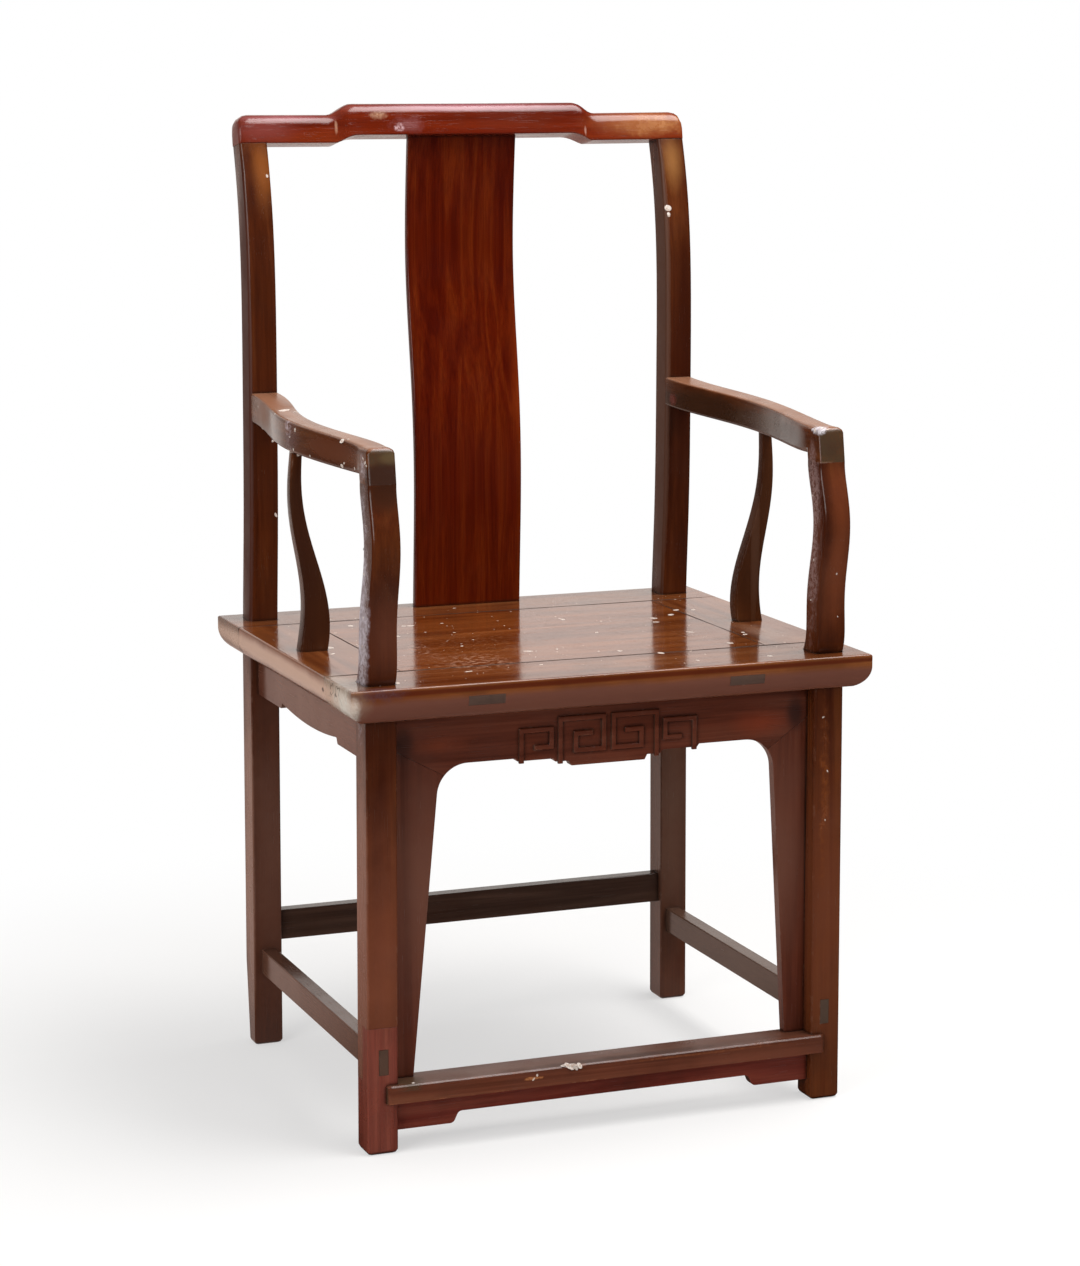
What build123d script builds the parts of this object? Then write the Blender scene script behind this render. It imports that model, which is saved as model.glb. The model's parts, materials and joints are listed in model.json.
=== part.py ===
# Southern official's hat armchair, built from separately jointed pieces.
# Millimetres. X runs across, +Y to the back, +Z up, the feet stand on z = 0.
# While modelling, y = 0 is the front edge of the seat; the export moves the middle of the depth to y = 0.

import math
import os

from build123d import *

os.makedirs("parts", exist_ok=True)

# ---- overall ----
seat_width = 588.0
seat_depth = 492.6
seat_height = 500.0  # floor to the top of the seat frame
arm_height = 207.0  # seat top up to the joint between front post and armrest
back_height = 534.0  # seat top up to the joint between rear post and crest rail

# ---- fits ----
fit_gap = 0.15  # play at each cheek of a tenon, tongue or through post
tip_gap = 0.8  # room past the end of a blind tenon
panel_gap = 0.5  # open line round the floating seat panel
root = 1.0  # a tenon's block starts this far inside its own piece
overrun = 10.0  # how far a cutter runs past what it cuts
corner_flats = 3  # planed flats that round each corner of a shaped bar

# ---- seat frame ----
seat_thickness = 36.5
front_rail_depth = 90.6
rear_rail_depth = 87.0
side_rail_width = 84.0
edge_flat = 13.0  # upright part of the moulded edge
edge_undercut = 15.0  # how far the moulding falls back at the underside
edge_arris = 2.5
rail_tenon_width = 60.0
rail_tenon_thickness = 12.0
rail_tenon_length = 24.0
rail_tenon_drop = 12.0  # seat top down to the tenon
panel_thickness = 13.0
tongue_thickness = 5.0
tongue_length = 7.0
tongue_drop = 6.0  # seat top down to the tongue
brace_width = 40.0
brace_height = 21.0
brace_setback = 63.0  # inner edge of a side rail to the middle of a brace
brace_tenon_thickness = 10.0

# ---- legs and posts ----
leg_size = 33.5
leg_inset_side = 23.0  # seat edge to the outer face of a leg
leg_inset_front = 23.4
leg_inset_back = 20.0
leg_splay = 2.0  # how far a foot stands outside its post
leg_arris = 1.2
foot_wear = ((0.0, 4.0), (1.4, 1.6), (4.5, 0.0))  # (height, how much is worn off each side)
heel_wear = (95.0, 12.0)  # height and width of the worn outer back corner of the -X rear foot
post_arris = 4.0
post_depth = 33.0
front_post_top_width = 30.6
front_post_taper_end = 0.6  # share of the arm height where the taper is done
front_post_toe_in = 2.2  # how far the top stands inside its leg
rear_post_top_width = 32.0
rear_post_toe_in = 1.2
# (share of the height above the seat, forward bow)
front_post_bow = ((0.29, 6.6), (0.486, 14.0), (0.662, 20.0), (0.858, 12.6), (1.0, 6.1))
# (share of the height above the seat, lean to the back); the last one is past the joint
rear_post_lean = ((0.188, -6.6), (0.485, -10.4), (0.712, -9.6), (0.86, -2.0), (1.0, 16.2), (1.015, 18.8))
post_tenon = (13.0, 15.0, 17.0)  # across, deep, high
crest_tenon_root = 4.0  # the tenon starts this far inside the post's slanted top

# ---- repaired foot ----
splice_front_height = 137.5
splice_back_height = 79.0

# ---- crest rail ----
crest_depth = 33.0
crest_tilt = 10.0  # degrees, the top leans to the back
crest_margin = 0.45  # the ends stand proud of the posts
crest_end_height = 33.2
crest_middle_height = 36.9
crest_rise = 8.1  # how far the underside of the middle steps up
crest_proud = 4.0  # how far the middle stands in front of the ends
crest_top_step = (163.0, 134.0)  # centre plane to the foot and the head of the scroll on top
crest_bottom_step = (153.0, 128.0)  # underneath
crest_front_step = (157.0, 141.0)  # and in front
crest_bow = 6.0  # the rail is bowed back in the middle
crest_corner = 13.0  # round of the top corners, seen from the front
crest_end_arris = 4.0
crest_rounds = (8.0, 13.0, 1.5, 1.5)  # top back, top front, bottom front, bottom back
crest_step_slices = 8
crest_corner_slices = 4

# ---- back splat ----
splat_width = 130.4
splat_thickness = 9.5
splat_housing = 12.0
splat_arris = 1.2
# (share of the height above the seat, front face behind the middle of the rear legs)
splat_curve = (
    (-0.03, 6.05),
    (0.138, 1.75),
    (0.297, -0.65),
    (0.455, 4.55),
    (0.633, 18.35),
    (0.751, 24.75),
    (0.89, 22.95),
    (1.048, 14.95),
)

# ---- armrests and their struts ----
# (share of the way from nose to rear post, outside the leg's middle, width, top, underside, round);
# top and underside are above the joint with the front post
arm_stations = (
    (0.06, -2.2, 30.3, 36.3, 6.7, 6.5),
    (0.1, -2.0, 30.2, 37.2, 6.4, 6.0),
    (0.2, 3.0, 28.0, 39.0, 6.6, 5.0),
    (0.32, 10.6, 26.0, 40.8, 7.8, 4.5),
    (0.5, 16.9, 27.0, 43.4, 10.4, 4.0),
    (0.7, 9.4, 30.0, 47.4, 14.6, 3.5),
    (0.86, -0.6, 32.0, 51.4, 18.8, 3.0),
    (1.0, -0.8, 30.8, 55.2, 22.8, 2.5),
)
arm_nose_height = 36.6  # joint up to the top of the nose
arm_nose_lean = 6.0  # the nose goes on with the backward lean of its post
arm_nose_rounds = (8.0, 5.0, 6.0)  # of the top of the nose: across, along, high
arm_scribe = 1.0  # how far the rear end reaches round the arrises of the rear post
arm_tenon = (12.0, 14.0, 18.0)  # across, long, high
arm_tenon_root = 3.0
strut_setback = 244.0  # seat front edge to the middle of a strut's foot
# (share of the arm height, outside the leg's middle, in front of the foot, width, depth)
strut_stations = (
    (0.0, 4.4, 0.0, 31.0, 20.0),
    (0.176, 1.0, 1.0, 28.6, 20.0),
    (0.372, 5.8, 3.6, 22.8, 19.0),
    (0.579, 16.0, 4.8, 17.6, 17.6),
    (0.796, 23.0, 4.6, 14.0, 16.0),
    (1.158, 21.0, 7.4, 11.0, 14.5),
)
strut_round = 2.6
strut_flats = 2
strut_foot_tenon = (16.0, 10.0, 18.0)  # across, deep, high
strut_top_tenon = (6.0, 8.0, 20.0)  # high counts from the level of the arm's joint

# ---- front arch and aprons under the seat ----
apron_setback = 19.2  # leg front to the face of the front boards
front_board = 12.5
board = 12.0
board_tongue = 5.0  # into the legs
board_tongue_thickness = 6.0
arch_drop = 55.8  # underside of the seat down to the top of the opening
arch_side_top = 47.0  # leg to the opening, at the top of the opening
arch_side_foot = 21.1  # and at the footrest
arch_corner = 34.0
arch_shift = 6.0  # the top of the opening sits a little to the +X side
fret_shift = 5.0  # and so does the carving
mitre_rise = 20.1  # top of the opening up to where a mitre meets the leg
mitre_fall = 9.0  # and down to where it meets the opening
side_apron_setback = 8.5  # leg outer face to the apron face
side_apron_end_depth = 48.0
side_apron_middle_depth = 47.5
side_apron_notch_depth = 41.5
side_ear_length = 87.0
side_ear_step = 7.0
rear_apron_depth = 42.0
# (half the width, how far below the top of the opening) of the steps under the fret, from the outside in
arch_steps = ((103.0, 3.2), (60.0, 6.7), (42.0, 12.2))
arch_step_slope = 3.0
fret_band = 5.6
fret_relief = 2.6
fret_arris = 1.0
# corners of the middle of each raised band (out from the carving's middle, above the top of the opening)
fret_large = ((55.0, -6.2), (55.0, 38.8), (5.6, 38.8), (5.6, 4.3), (37.6, 4.3), (37.6, 22.3), (21.0, 22.3))
fret_small = ((99.0, -2.7), (99.0, 29.3), (65.0, 29.3), (65.0, 10.3), (82.0, 10.3))

# ---- footrest and stretchers ----
footrest_top = 75.0
footrest_thickness = 19.5
footrest_proud = 6.6  # in front of the leg faces
footrest_end_inset = 18.4  # leg outer face to the end of the footrest
footrest_end_round = 5.0
footrest_apron_foot = 21.5
footrest_apron_rise = 12.5
footrest_apron_step = (59.5, 73.5)  # leg to the foot and the head of the step in its lower edge
footrest_apron_setback = 11.2
stretcher_thickness = 17.5
stretcher_height = 29.0
stretcher_arris = 1.5
side_stretcher_foot = 85.5
side_stretcher_inset = 7.5  # leg outer face to the stretcher
rear_stretcher_foot = 122.0
rear_stretcher_height = 35.0
rear_stretcher_setback = 7.5  # leg front face to the stretcher
stretcher_tenon = 10.0
stretcher_tenon_shoulder = 1.0  # above and below
rear_tenon_shoulder = 3.0
tenon_length = 20.0

# ---- worked out ----
seat_bottom = seat_height - seat_thickness
arm_joint = seat_height + arm_height
crest_joint = seat_height + back_height
half_width = seat_width / 2
rear_joint = seat_depth - rear_rail_depth
panel_half = half_width - side_rail_width
leg_x = half_width - leg_inset_side - leg_size / 2
leg_inner = leg_x - leg_size / 2
leg_outer = leg_x + leg_size / 2
front_leg_y = leg_inset_front + leg_size / 2
rear_leg_y = seat_depth - leg_inset_back - leg_size / 2
front_leg_back = front_leg_y + leg_size / 2
rear_leg_front = rear_leg_y - leg_size / 2
front_top = (leg_x - front_post_toe_in, front_leg_y - front_post_bow[-1][1])
rear_top = (leg_x - rear_post_toe_in, rear_leg_y + rear_post_lean[-2][1])
crest_half_length = rear_top[0] + rear_post_top_width / 2 + crest_margin
apron_face = leg_inset_front + apron_setback
arch_top = seat_bottom - arch_drop
arch_half_top = leg_inner - arch_side_top
arch_half_foot = leg_inner - arch_side_foot
footrest_foot = footrest_top - footrest_thickness


def block(x, y, z):
    """A box given by its two limits along each axis."""
    size = Box(x[1] - x[0], y[1] - y[0], z[1] - z[0])
    return Pos(sum(x) / 2, sum(y) / 2, sum(z) / 2) * size


def around(middle, size):
    """The two limits of a length about its middle."""
    return (middle - size / 2, middle + size / 2)


def wider(limits, amount):
    return (limits[0] - amount, limits[1] + amount)


def mortise(x, y, z, tip=None):
    """The hole for a tenon: fit_gap at each cheek, tip_gap past a blind end ("+x", "-y" ...)."""
    limits = {"x": list(wider(x, fit_gap)), "y": list(wider(y, fit_gap)), "z": list(wider(z, fit_gap))}
    if tip:
        end = 1 if tip[0] == "+" else 0
        limits[tip[1]][end] += tip_gap if tip[0] == "+" else -tip_gap
    return block(limits["x"], limits["y"], limits["z"])


def rounded_section(width, depth, radii, flats=corner_flats):
    """A rectangle whose corners are rounded by a few flats each; radii is one size, or four from +x +y on."""
    if not isinstance(radii, tuple):
        radii = (radii,) * 4
    points = []
    for x, y, turn, radius in zip((1, -1, -1, 1), (1, 1, -1, -1), (0, 90, 180, 270), radii):
        center = (x * (width / 2 - radius), y * (depth / 2 - radius))
        for flat in range(flats + 1):
            angle = math.radians(turn + 90 * flat / flats)
            points.append((center[0] + radius * math.cos(angle), center[1] + radius * math.sin(angle)))
    return make_face(Polyline(*points, close=True))


def tapered(stations, flats=corner_flats):
    """A bar through level rounded sections (z, x, y, width, depth, corner radius)."""
    sections = [Pos(x, y, z) * rounded_section(w, d, r, flats) for z, x, y, w, d, r in stations]
    return loft(sections)


def mirrored(shape):
    return mirror(shape, about=Plane.YZ)


def upright_board(outline, y):
    """Extrude an outline drawn in the XZ plane so that it fills the limits y."""
    face = make_face(Plane.XZ * outline)
    return Pos(0, y[0], 0) * extrude(face, y[1] - y[0], dir=(0, 1, 0))


def side_board(outline, x):
    """Extrude an outline drawn as (y, z) so that it fills the limits x."""
    face = make_face(Plane.YZ * outline)
    return Pos(x[0], 0, 0) * extrude(face, x[1] - x[0], dir=(1, 0, 0))


def between_legs(piece, blank):
    """Cut the shoulders of a board that runs from leg to leg."""
    return piece - blank - mirrored(blank)


# ---- legs and posts, modelled on the +X side ----
def leg_blank(y):
    """The square leg below the seat, splayed a little, with sharp edges."""
    section = Pos(leg_x + leg_splay, y, 0) * Rectangle(leg_size, leg_size)
    slant = Vector(-leg_splay, 0, seat_bottom)
    return extrude(section, slant.length, dir=slant)


def leg(y):
    """The leg with a worn foot and edges, up through the seat."""
    sections = []
    for z, wear in (*foot_wear, (seat_bottom, 0.0)):
        x = leg_x + leg_splay * (1 - z / seat_bottom)
        size = leg_size - 2 * wear
        sections.append(Pos(x, y, z) * rounded_section(size, size, leg_arris, flats=1))
    sections.append(Pos(leg_x, y, seat_height) * rounded_section(leg_size, leg_size, leg_arris, flats=1))
    return loft(sections, ruled=True)


def front_post():
    """The post and the hole its tenon needs in the armrest."""
    taper = leg_size - front_post_top_width
    stations = [(seat_height, leg_x, front_leg_y, leg_size, leg_size, post_arris)]
    for share, bow in front_post_bow:
        width = leg_size - taper * min(1.0, share / front_post_taper_end)
        place = (seat_height + share * arm_height, leg_x - front_post_toe_in * share, front_leg_y - bow)
        stations.append((*place, width, post_depth, post_arris))
    across, deep, high = post_tenon
    tenon = (around(front_top[0], across), around(front_top[1], deep), (arm_joint - root, arm_joint + high))
    return leg(front_leg_y) + tapered(stations) + block(*tenon), mortise(*tenon, tip="+z")


def rear_post():
    """The post, trimmed to the rail's leaning underside, and the hole its tenon needs in the crest rail."""
    taper = leg_size - rear_post_top_width
    stations = [(seat_height, leg_x, rear_leg_y, leg_size, leg_size, post_arris)]
    for share, lean in rear_post_lean:
        width = leg_size - taper * share
        place = (seat_height + share * back_height, leg_x - rear_post_toe_in * share, rear_leg_y + lean)
        stations.append((*place, width, post_depth, post_arris))
    across, deep, high = post_tenon
    foot = crest_joint - crest_tenon_root
    tenon = (around(rear_top[0], across), around(rear_top[1], deep), (foot, crest_joint + high))
    over = leaned(block((0, half_width), around(0, 2 * crest_depth), (0, crest_depth)))
    post = leg(rear_leg_y) + tapered(stations) - over
    return post + block(*tenon), mortise(*tenon, tip="+z")


# ---- crest rail ----
def leaned(shape):
    """Lean something drawn about the crest rail's underside back to its place on the posts."""
    return Pos(0, rear_top[1], crest_joint) * Rot(X=-crest_tilt) * shape


def step_share(distance, step):
    """How far up a step a place is: 0 outside its foot, 1 inside its head."""
    return min(1.0, max(0.0, (step[0] - distance) / (step[0] - step[1])))


def scroll(distance, step):
    """A step that is hollow at its foot and round at its head."""
    return (1 - math.cos(math.pi * step_share(distance, step))) / 2


def fall_in(distance, start, radius):
    """How far a quarter round of that radius has fallen in, past its start."""
    past = min(radius, max(0.0, distance - start))
    return radius - math.sqrt(radius**2 - past**2)


def crest_section(distance):
    """The rail's section at a distance from its middle; the underside of the ends is z = 0."""
    scroll_height = crest_rise + crest_middle_height - crest_end_height
    top = crest_end_height + scroll_height * scroll(distance, crest_top_step)
    bottom = crest_rise * math.sin(math.pi / 2 * step_share(distance, crest_bottom_step))
    bow = crest_bow * (1 - (distance / crest_half_length) ** 2)
    front = bow - crest_depth / 2 - crest_proud * scroll(distance, crest_front_step)
    back = bow + crest_depth / 2
    top -= fall_in(distance, crest_half_length - crest_corner, crest_corner)
    arris = fall_in(distance, crest_half_length - crest_end_arris, crest_end_arris)
    section = rounded_section(back - front - 2 * arris, top - bottom, crest_rounds)
    return Pos((front + back) / 2, (bottom + top) / 2) * section


def crest_body():
    """The rail before its joints, ruled through its sections and leaned back."""
    head = crest_bottom_step[1]
    foot = crest_top_step[0]
    corner = crest_half_length - crest_corner
    places = [head / 2]
    for index in range(crest_step_slices + 1):
        places.append(head + (foot - head) * index / crest_step_slices)
    places.append((foot + corner) / 2)
    for index in range(crest_corner_slices + 1):
        places.append(corner + crest_corner * math.sin(math.pi / 2 * index / crest_corner_slices))
    sections = []
    for x in [-place for place in reversed(places)] + [0.0] + places:
        sections.append(Plane.YZ.offset(x) * crest_section(abs(x)))
    return leaned(loft(sections, ruled=True))


# ---- back splat ----
def splat_body(grow=0.0):
    """The curved board; grow makes the cutter for its two housings."""
    front = []
    back = []
    for share, lean in splat_curve:
        height = seat_height + share * back_height
        front.append((rear_leg_y + lean - grow, height))
        back.append((rear_leg_y + lean + splat_thickness + grow, height))
    sides = [Spline(front), Line(front[-1], back[-1]), Spline(back), Line(back[0], front[0])]
    reach = splat_width / 2 + grow
    body = side_board(Curve() + sides, (-reach, reach))
    if not grow:
        body = chamfer(body.edges().filter_by(lambda edge: edge.length > back_height), splat_arris)
    housing = splat_housing + (tip_gap if grow else 0)
    top = crest_joint + crest_rise + housing
    return body & block((-reach, reach), (0, 2 * seat_depth), (seat_height - housing, top))


# ---- armrest and strut ----
def arm_nose():
    """The turned-down end, flush with its post all round and domed on top."""
    across, along, high = arm_nose_rounds
    steps = [(0.0, 0.0)]
    for flat in range(corner_flats + 1):
        angle = math.pi / 2 * flat / corner_flats
        steps.append((arm_nose_height - high * (1 - math.sin(angle)), 1 - math.cos(angle)))
    sections = []
    for rise, drawn_in in steps:
        width = front_post_top_width - 2 * across * drawn_in
        depth = post_depth - 2 * along * drawn_in
        lean = arm_nose_lean * rise / arm_nose_height
        place = Pos(front_top[0], front_top[1] + lean, arm_joint + rise)
        sections.append(place * rounded_section(width, depth, post_arris))
    return loft(sections, ruled=True)


def arm_body():
    nose = front_top[1] - post_depth / 2
    span = rear_leg_y - nose
    sections = []
    for share, out, width, top, under, radius in arm_stations:
        section = rounded_section(width, top - under, radius)
        place = Pos(leg_x + out, nose + share * span, arm_joint + (top + under) / 2)
        sections.append(place * Rot(X=90) * section)
    return loft(sections) + arm_nose()


def strut_body():
    stations = []
    for share, out, ahead, width, depth in strut_stations:
        place = seat_height + share * arm_height
        stations.append((place, leg_x + out, strut_setback - ahead, width, depth, strut_round))
    return tapered(stations, strut_flats)


# ---- seat ----
def edge_section(span):
    """The moulded outline of the seat seen from one side, span wide and centred on 0."""
    half = span / 2
    flat_foot = (half, seat_height - edge_flat)
    inner_foot = (half - edge_undercut, seat_bottom)
    edge = [
        Line((0, seat_height), (half - edge_arris, seat_height)),
        RadiusArc((half - edge_arris, seat_height), (half, seat_height - edge_arris), edge_arris),
        Line((half, seat_height - edge_arris), flat_foot),
        TangentArc(flat_foot, inner_foot, tangent=(0, -1)),
        Line(inner_foot, (0, seat_bottom)),
    ]
    side = Curve() + edge
    return side + mirror(side, about=Plane.YZ)


def seat_slab():
    """The whole seat with its moulded edge, before it is sawn into rails and panel."""
    across = upright_board(edge_section(seat_width), wider((0, seat_depth), overrun))
    along = Rot(Z=90) * upright_board(edge_section(seat_depth), around(0, seat_width + overrun))
    return across & (Pos(0, seat_depth / 2, 0) * along)


def seat_pieces():
    """Front, rear and right side rails, the floating panel and the right brace, jointed to each other."""
    slab = seat_slab()
    everywhere = (-seat_width, seat_width)
    whole = wider((seat_bottom, seat_height), overrun)
    front = slab & block(everywhere, (-overrun, front_rail_depth), whole)
    rear = slab & block(everywhere, (rear_joint, seat_depth + overrun), whole)
    side = slab & block((panel_half, seat_width), (front_rail_depth, rear_joint), whole)

    tenon_x = around((panel_half + half_width) / 2, rail_tenon_width)
    tenon_z = (seat_height - rail_tenon_drop - rail_tenon_thickness, seat_height - rail_tenon_drop)
    front_tenon = (tenon_x, (front_rail_depth - rail_tenon_length, front_rail_depth), tenon_z)
    rear_tenon = (tenon_x, (rear_joint, rear_joint + rail_tenon_length), tenon_z)
    side = side + block(*front_tenon) + block(*rear_tenon)
    front_cuts = mortise(*front_tenon, tip="-y")
    rear_cuts = mortise(*rear_tenon, tip="+y")

    panel_x = wider((-panel_half, panel_half), -panel_gap)
    panel_y = wider((front_rail_depth, rear_joint), -panel_gap)
    tongue_z = (seat_height - tongue_drop - tongue_thickness, seat_height - tongue_drop)
    tongue_x = wider((-panel_half, panel_half), tongue_length)
    tongue_y = wider((front_rail_depth, rear_joint), tongue_length)
    panel = block(panel_x, panel_y, (seat_height - panel_thickness, seat_height))
    panel += block(tongue_x, tongue_y, tongue_z)
    groove = block(wider(tongue_x, tip_gap), wider(tongue_y, tip_gap), wider(tongue_z, fit_gap))

    brace_top = seat_height - panel_thickness
    brace_x = around(panel_half - brace_setback, brace_width)
    brace = block(brace_x, (front_rail_depth, rear_joint), (brace_top - brace_height, brace_top))
    through = (brace_x, wider((0, seat_depth), overrun), (brace_top - brace_tenon_thickness, brace_top))
    brace += block(*through) & slab
    through_hole = mortise(*through)

    front_cuts += through_hole
    front_cuts += mortise(around(leg_x, leg_size), around(front_leg_y, leg_size), whole)
    rear_cuts += through_hole
    rear_cuts += mortise(around(leg_x, leg_size), around(rear_leg_y, leg_size), whole)
    front = front - groove - front_cuts - mirrored(front_cuts)
    rear = rear - groove - rear_cuts - mirrored(rear_cuts)
    return front, rear, side - groove, panel, brace - groove


# ---- front arch: head board and two spandrels, mitred ----
def arch_opening():
    foot = footrest_top - overrun
    right = [(arch_half_foot, foot), (arch_shift + arch_half_top, arch_top)]
    left = [(arch_shift - arch_half_top, arch_top), (-arch_half_foot, foot)]
    opening = upright_board(Polyline(*right, *left, close=True), (0, 2 * leg_size))
    heads = opening.edges().filter_by(Axis.Y).group_by(Axis.Z)[-1]
    return fillet(heads, arch_corner)


def mitre_wedge(side, y):
    """What lies below the mitre on one side, side being 1 for +X and -1 for -X."""
    corner = side * arch_half_top + arch_shift
    slope = (mitre_rise + mitre_fall) / (side * leg_inner - corner)
    near = side * arch_half_top / 2
    far = side * leg_x
    heights = [arch_top - mitre_fall + slope * (x - corner) for x in (near, far)]
    return upright_board(Polyline((near, heights[0]), (far, heights[1]), (far, 0), (near, 0), close=True), y)


def fret_steps(y):
    """The board under the fret, which steps down towards the middle."""
    right = []
    above = -root
    for half, drop in arch_steps:
        right += [(half + arch_step_slope, above), (half, drop)]
        above = drop
    outline = [(fret_shift + x, arch_top - drop) for x, drop in right]
    outline += [(fret_shift - x, arch_top - drop) for x, drop in reversed(right)]
    return upright_board(Polyline(*outline, close=True), y)


def fret_coil(path, side):
    """A square spiral of one raised band, with bevelled front edges."""
    coil = Part()
    y = (apron_face - fret_relief, apron_face + root)
    for start, end in zip(path, path[1:]):
        x = sorted((fret_shift + side * start[0], fret_shift + side * end[0]))
        z = sorted((arch_top + start[1], arch_top + end[1]))
        coil += block(wider(x, fret_band / 2), y, wider(z, fret_band / 2))
    return chamfer(coil.faces().sort_by(Axis.Y)[0].edges(), fret_arris)


def front_arch():
    """Head board, spandrels, and the hole that one side's tongues need in the right leg."""
    y = (apron_face, apron_face + front_board)
    tongue_x = (leg_inner - root, leg_inner + board_tongue)
    tongue = (tongue_x, around(sum(y) / 2, board_tongue_thickness), (footrest_top, seat_bottom))
    plate = block(around(0, 2 * leg_x), y, (footrest_top, seat_bottom)) - arch_opening()
    plate = between_legs(plate, front_blank) + block(*tongue) + mirrored(block(*tongue))
    head = plate + fret_steps(y)
    spandrels = []
    for side in (1, -1):
        wedge = mitre_wedge(side, wider(y, root))
        spandrels.append(plate & wedge)
        head -= wedge
    for side in (1, -1):
        head = head + fret_coil(fret_large, side) + fret_coil(fret_small, side)
    return head, spandrels[0], spandrels[1], mortise(*tongue)


# ---- boards and stretchers between the legs ----
def side_apron():
    middle = (front_leg_back + rear_leg_front) / 2
    half = (rear_leg_front - front_leg_back) / 2
    ear = seat_bottom - side_apron_end_depth
    notch = seat_bottom - side_apron_notch_depth
    belly = seat_bottom - side_apron_middle_depth
    inside = half - side_ear_length
    step = inside - side_ear_step
    inward = (-1, 0)
    outline = Curve() + [
        Line((middle + half, seat_bottom), (middle + half, ear)),
        Line((middle + half, ear), (middle + inside, ear)),
        Spline((middle + inside, ear), (middle + step, notch), tangents=(inward, inward)),
        ThreePointArc((middle + step, notch), (middle, belly), (middle - step, notch)),
        Spline((middle - step, notch), (middle - inside, ear), tangents=(inward, inward)),
        Line((middle - inside, ear), (middle - half, ear)),
        Line((middle - half, ear), (middle - half, seat_bottom)),
        Line((middle - half, seat_bottom), (middle + half, seat_bottom)),
    ]
    face = leg_outer - side_apron_setback
    apron = side_board(outline, (face - board, face))
    tongue_x = around(face - board / 2, board_tongue_thickness)
    holes = []
    for leg_face, tip in ((front_leg_back, -board_tongue), (rear_leg_front, board_tongue)):
        tongue = (tongue_x, sorted((leg_face + tip, leg_face - math.copysign(root, tip))), (ear, seat_bottom))
        apron += block(*tongue)
        holes.append(mortise(*tongue))
    return apron, holes[0] + holes[1]


def rear_apron():
    face = rear_leg_y + leg_size / 2 - side_apron_setback
    levels = (seat_bottom - rear_apron_depth, seat_bottom)
    apron = block(around(0, 2 * leg_x), (face - board, face), levels)
    reach = leg_inner + board_tongue
    tongue = ((-reach, reach), around(face - board / 2, board_tongue_thickness), levels)
    return between_legs(apron, rear_blank) + block(*tongue), mortise(*tongue)


def footrest():
    front = leg_inset_front - footrest_proud
    levels = (footrest_foot, footrest_top)
    rest = block(around(0, 2 * (leg_outer - footrest_end_inset)), (front, front_leg_back), levels)
    rest = fillet(rest.edges().filter_by(Axis.Z).group_by(Axis.Y)[0], footrest_end_round)
    rest = chamfer(rest.edges().group_by(Axis.Z)[-1], stretcher_arris)
    reach = leg_inner + tenon_length
    tenon = ((-reach, reach), around(front_leg_y, stretcher_tenon), wider(levels, -footrest_thickness / 4))
    return between_legs(rest, front_blank) + block(*tenon), mortise(*tenon)


def footrest_apron():
    face = leg_inset_front + footrest_apron_setback
    reach = leg_x
    low = footrest_apron_foot
    high = low + footrest_apron_rise
    outer = leg_inner - footrest_apron_step[0]
    inner = leg_inner - footrest_apron_step[1]
    along = (1, 0)
    outline = Curve() + [
        Line((-reach, footrest_foot), (-reach, low)),
        Line((-reach, low), (-outer, low)),
        Spline((-outer, low), (-inner, high), tangents=(along, along)),
        Line((-inner, high), (inner, high)),
        Spline((inner, high), (outer, low), tangents=(along, along)),
        Line((outer, low), (reach, low)),
        Line((reach, low), (reach, footrest_foot)),
        Line((reach, footrest_foot), (-reach, footrest_foot)),
    ]
    apron = upright_board(outline, (face, face + board))
    tongue_x = (leg_inner - root, leg_inner + board_tongue)
    tongue = (tongue_x, around(face + board / 2, board_tongue_thickness), (low, footrest_foot))
    apron = between_legs(apron, front_blank) + block(*tongue) + mirrored(block(*tongue))
    return apron, mortise(*tongue)


def side_stretcher():
    """One rail; its front tenon shows on the front of the leg, the back one is blind."""
    x = (leg_outer - side_stretcher_inset - stretcher_thickness, leg_outer - side_stretcher_inset)
    z = (side_stretcher_foot, side_stretcher_foot + stretcher_height)
    rail = block(x, (front_leg_back, rear_leg_front), z)
    rail = fillet(rail.edges().filter_by(Axis.Y), stretcher_arris)
    tenon_x = around(sum(x) / 2, stretcher_tenon)
    tenon = (tenon_x, (leg_inset_front, rear_leg_front + tenon_length), wider(z, -stretcher_tenon_shoulder))
    return rail + block(*tenon), mortise(*tenon)


def rear_stretcher():
    front = rear_leg_front + rear_stretcher_setback
    y = (front, front + stretcher_thickness)
    z = (rear_stretcher_foot, rear_stretcher_foot + rear_stretcher_height)
    rail = block(around(0, 2 * leg_x), y, z)
    rail = fillet(rail.edges().filter_by(Axis.X), stretcher_arris)
    reach = leg_inner + tenon_length
    tenon = ((-reach, reach), around(sum(y) / 2, stretcher_tenon), wider(z, -rear_tenon_shoulder))
    return between_legs(rail, rear_blank) + block(*tenon), mortise(*tenon)


# ---- fit the pieces to each other ----
front_blank = leg_blank(front_leg_y)
rear_blank = leg_blank(rear_leg_y)
front_post_right, front_top_hole = front_post()
rear_post_right, rear_top_hole = rear_post()
front_rail, rear_rail, side_rail, panel, brace = seat_pieces()
arch_head, arch_spandrel_right, arch_spandrel_left, arch_hole = front_arch()
apron_right, apron_right_hole = side_apron()
apron_back, apron_back_hole = rear_apron()
rest, rest_hole = footrest()
rest_apron, rest_apron_hole = footrest_apron()
stretcher_right, stretcher_right_hole = side_stretcher()
stretcher_back, stretcher_back_hole = rear_stretcher()

# back: crest rail on the posts, splat housed in crest rail and seat
splat = splat_body()
splat_housings = splat_body(grow=fit_gap)
crest = crest_body() - rear_top_hole - mirrored(rear_top_hole) - splat_housings
rear_rail -= splat_housings

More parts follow.
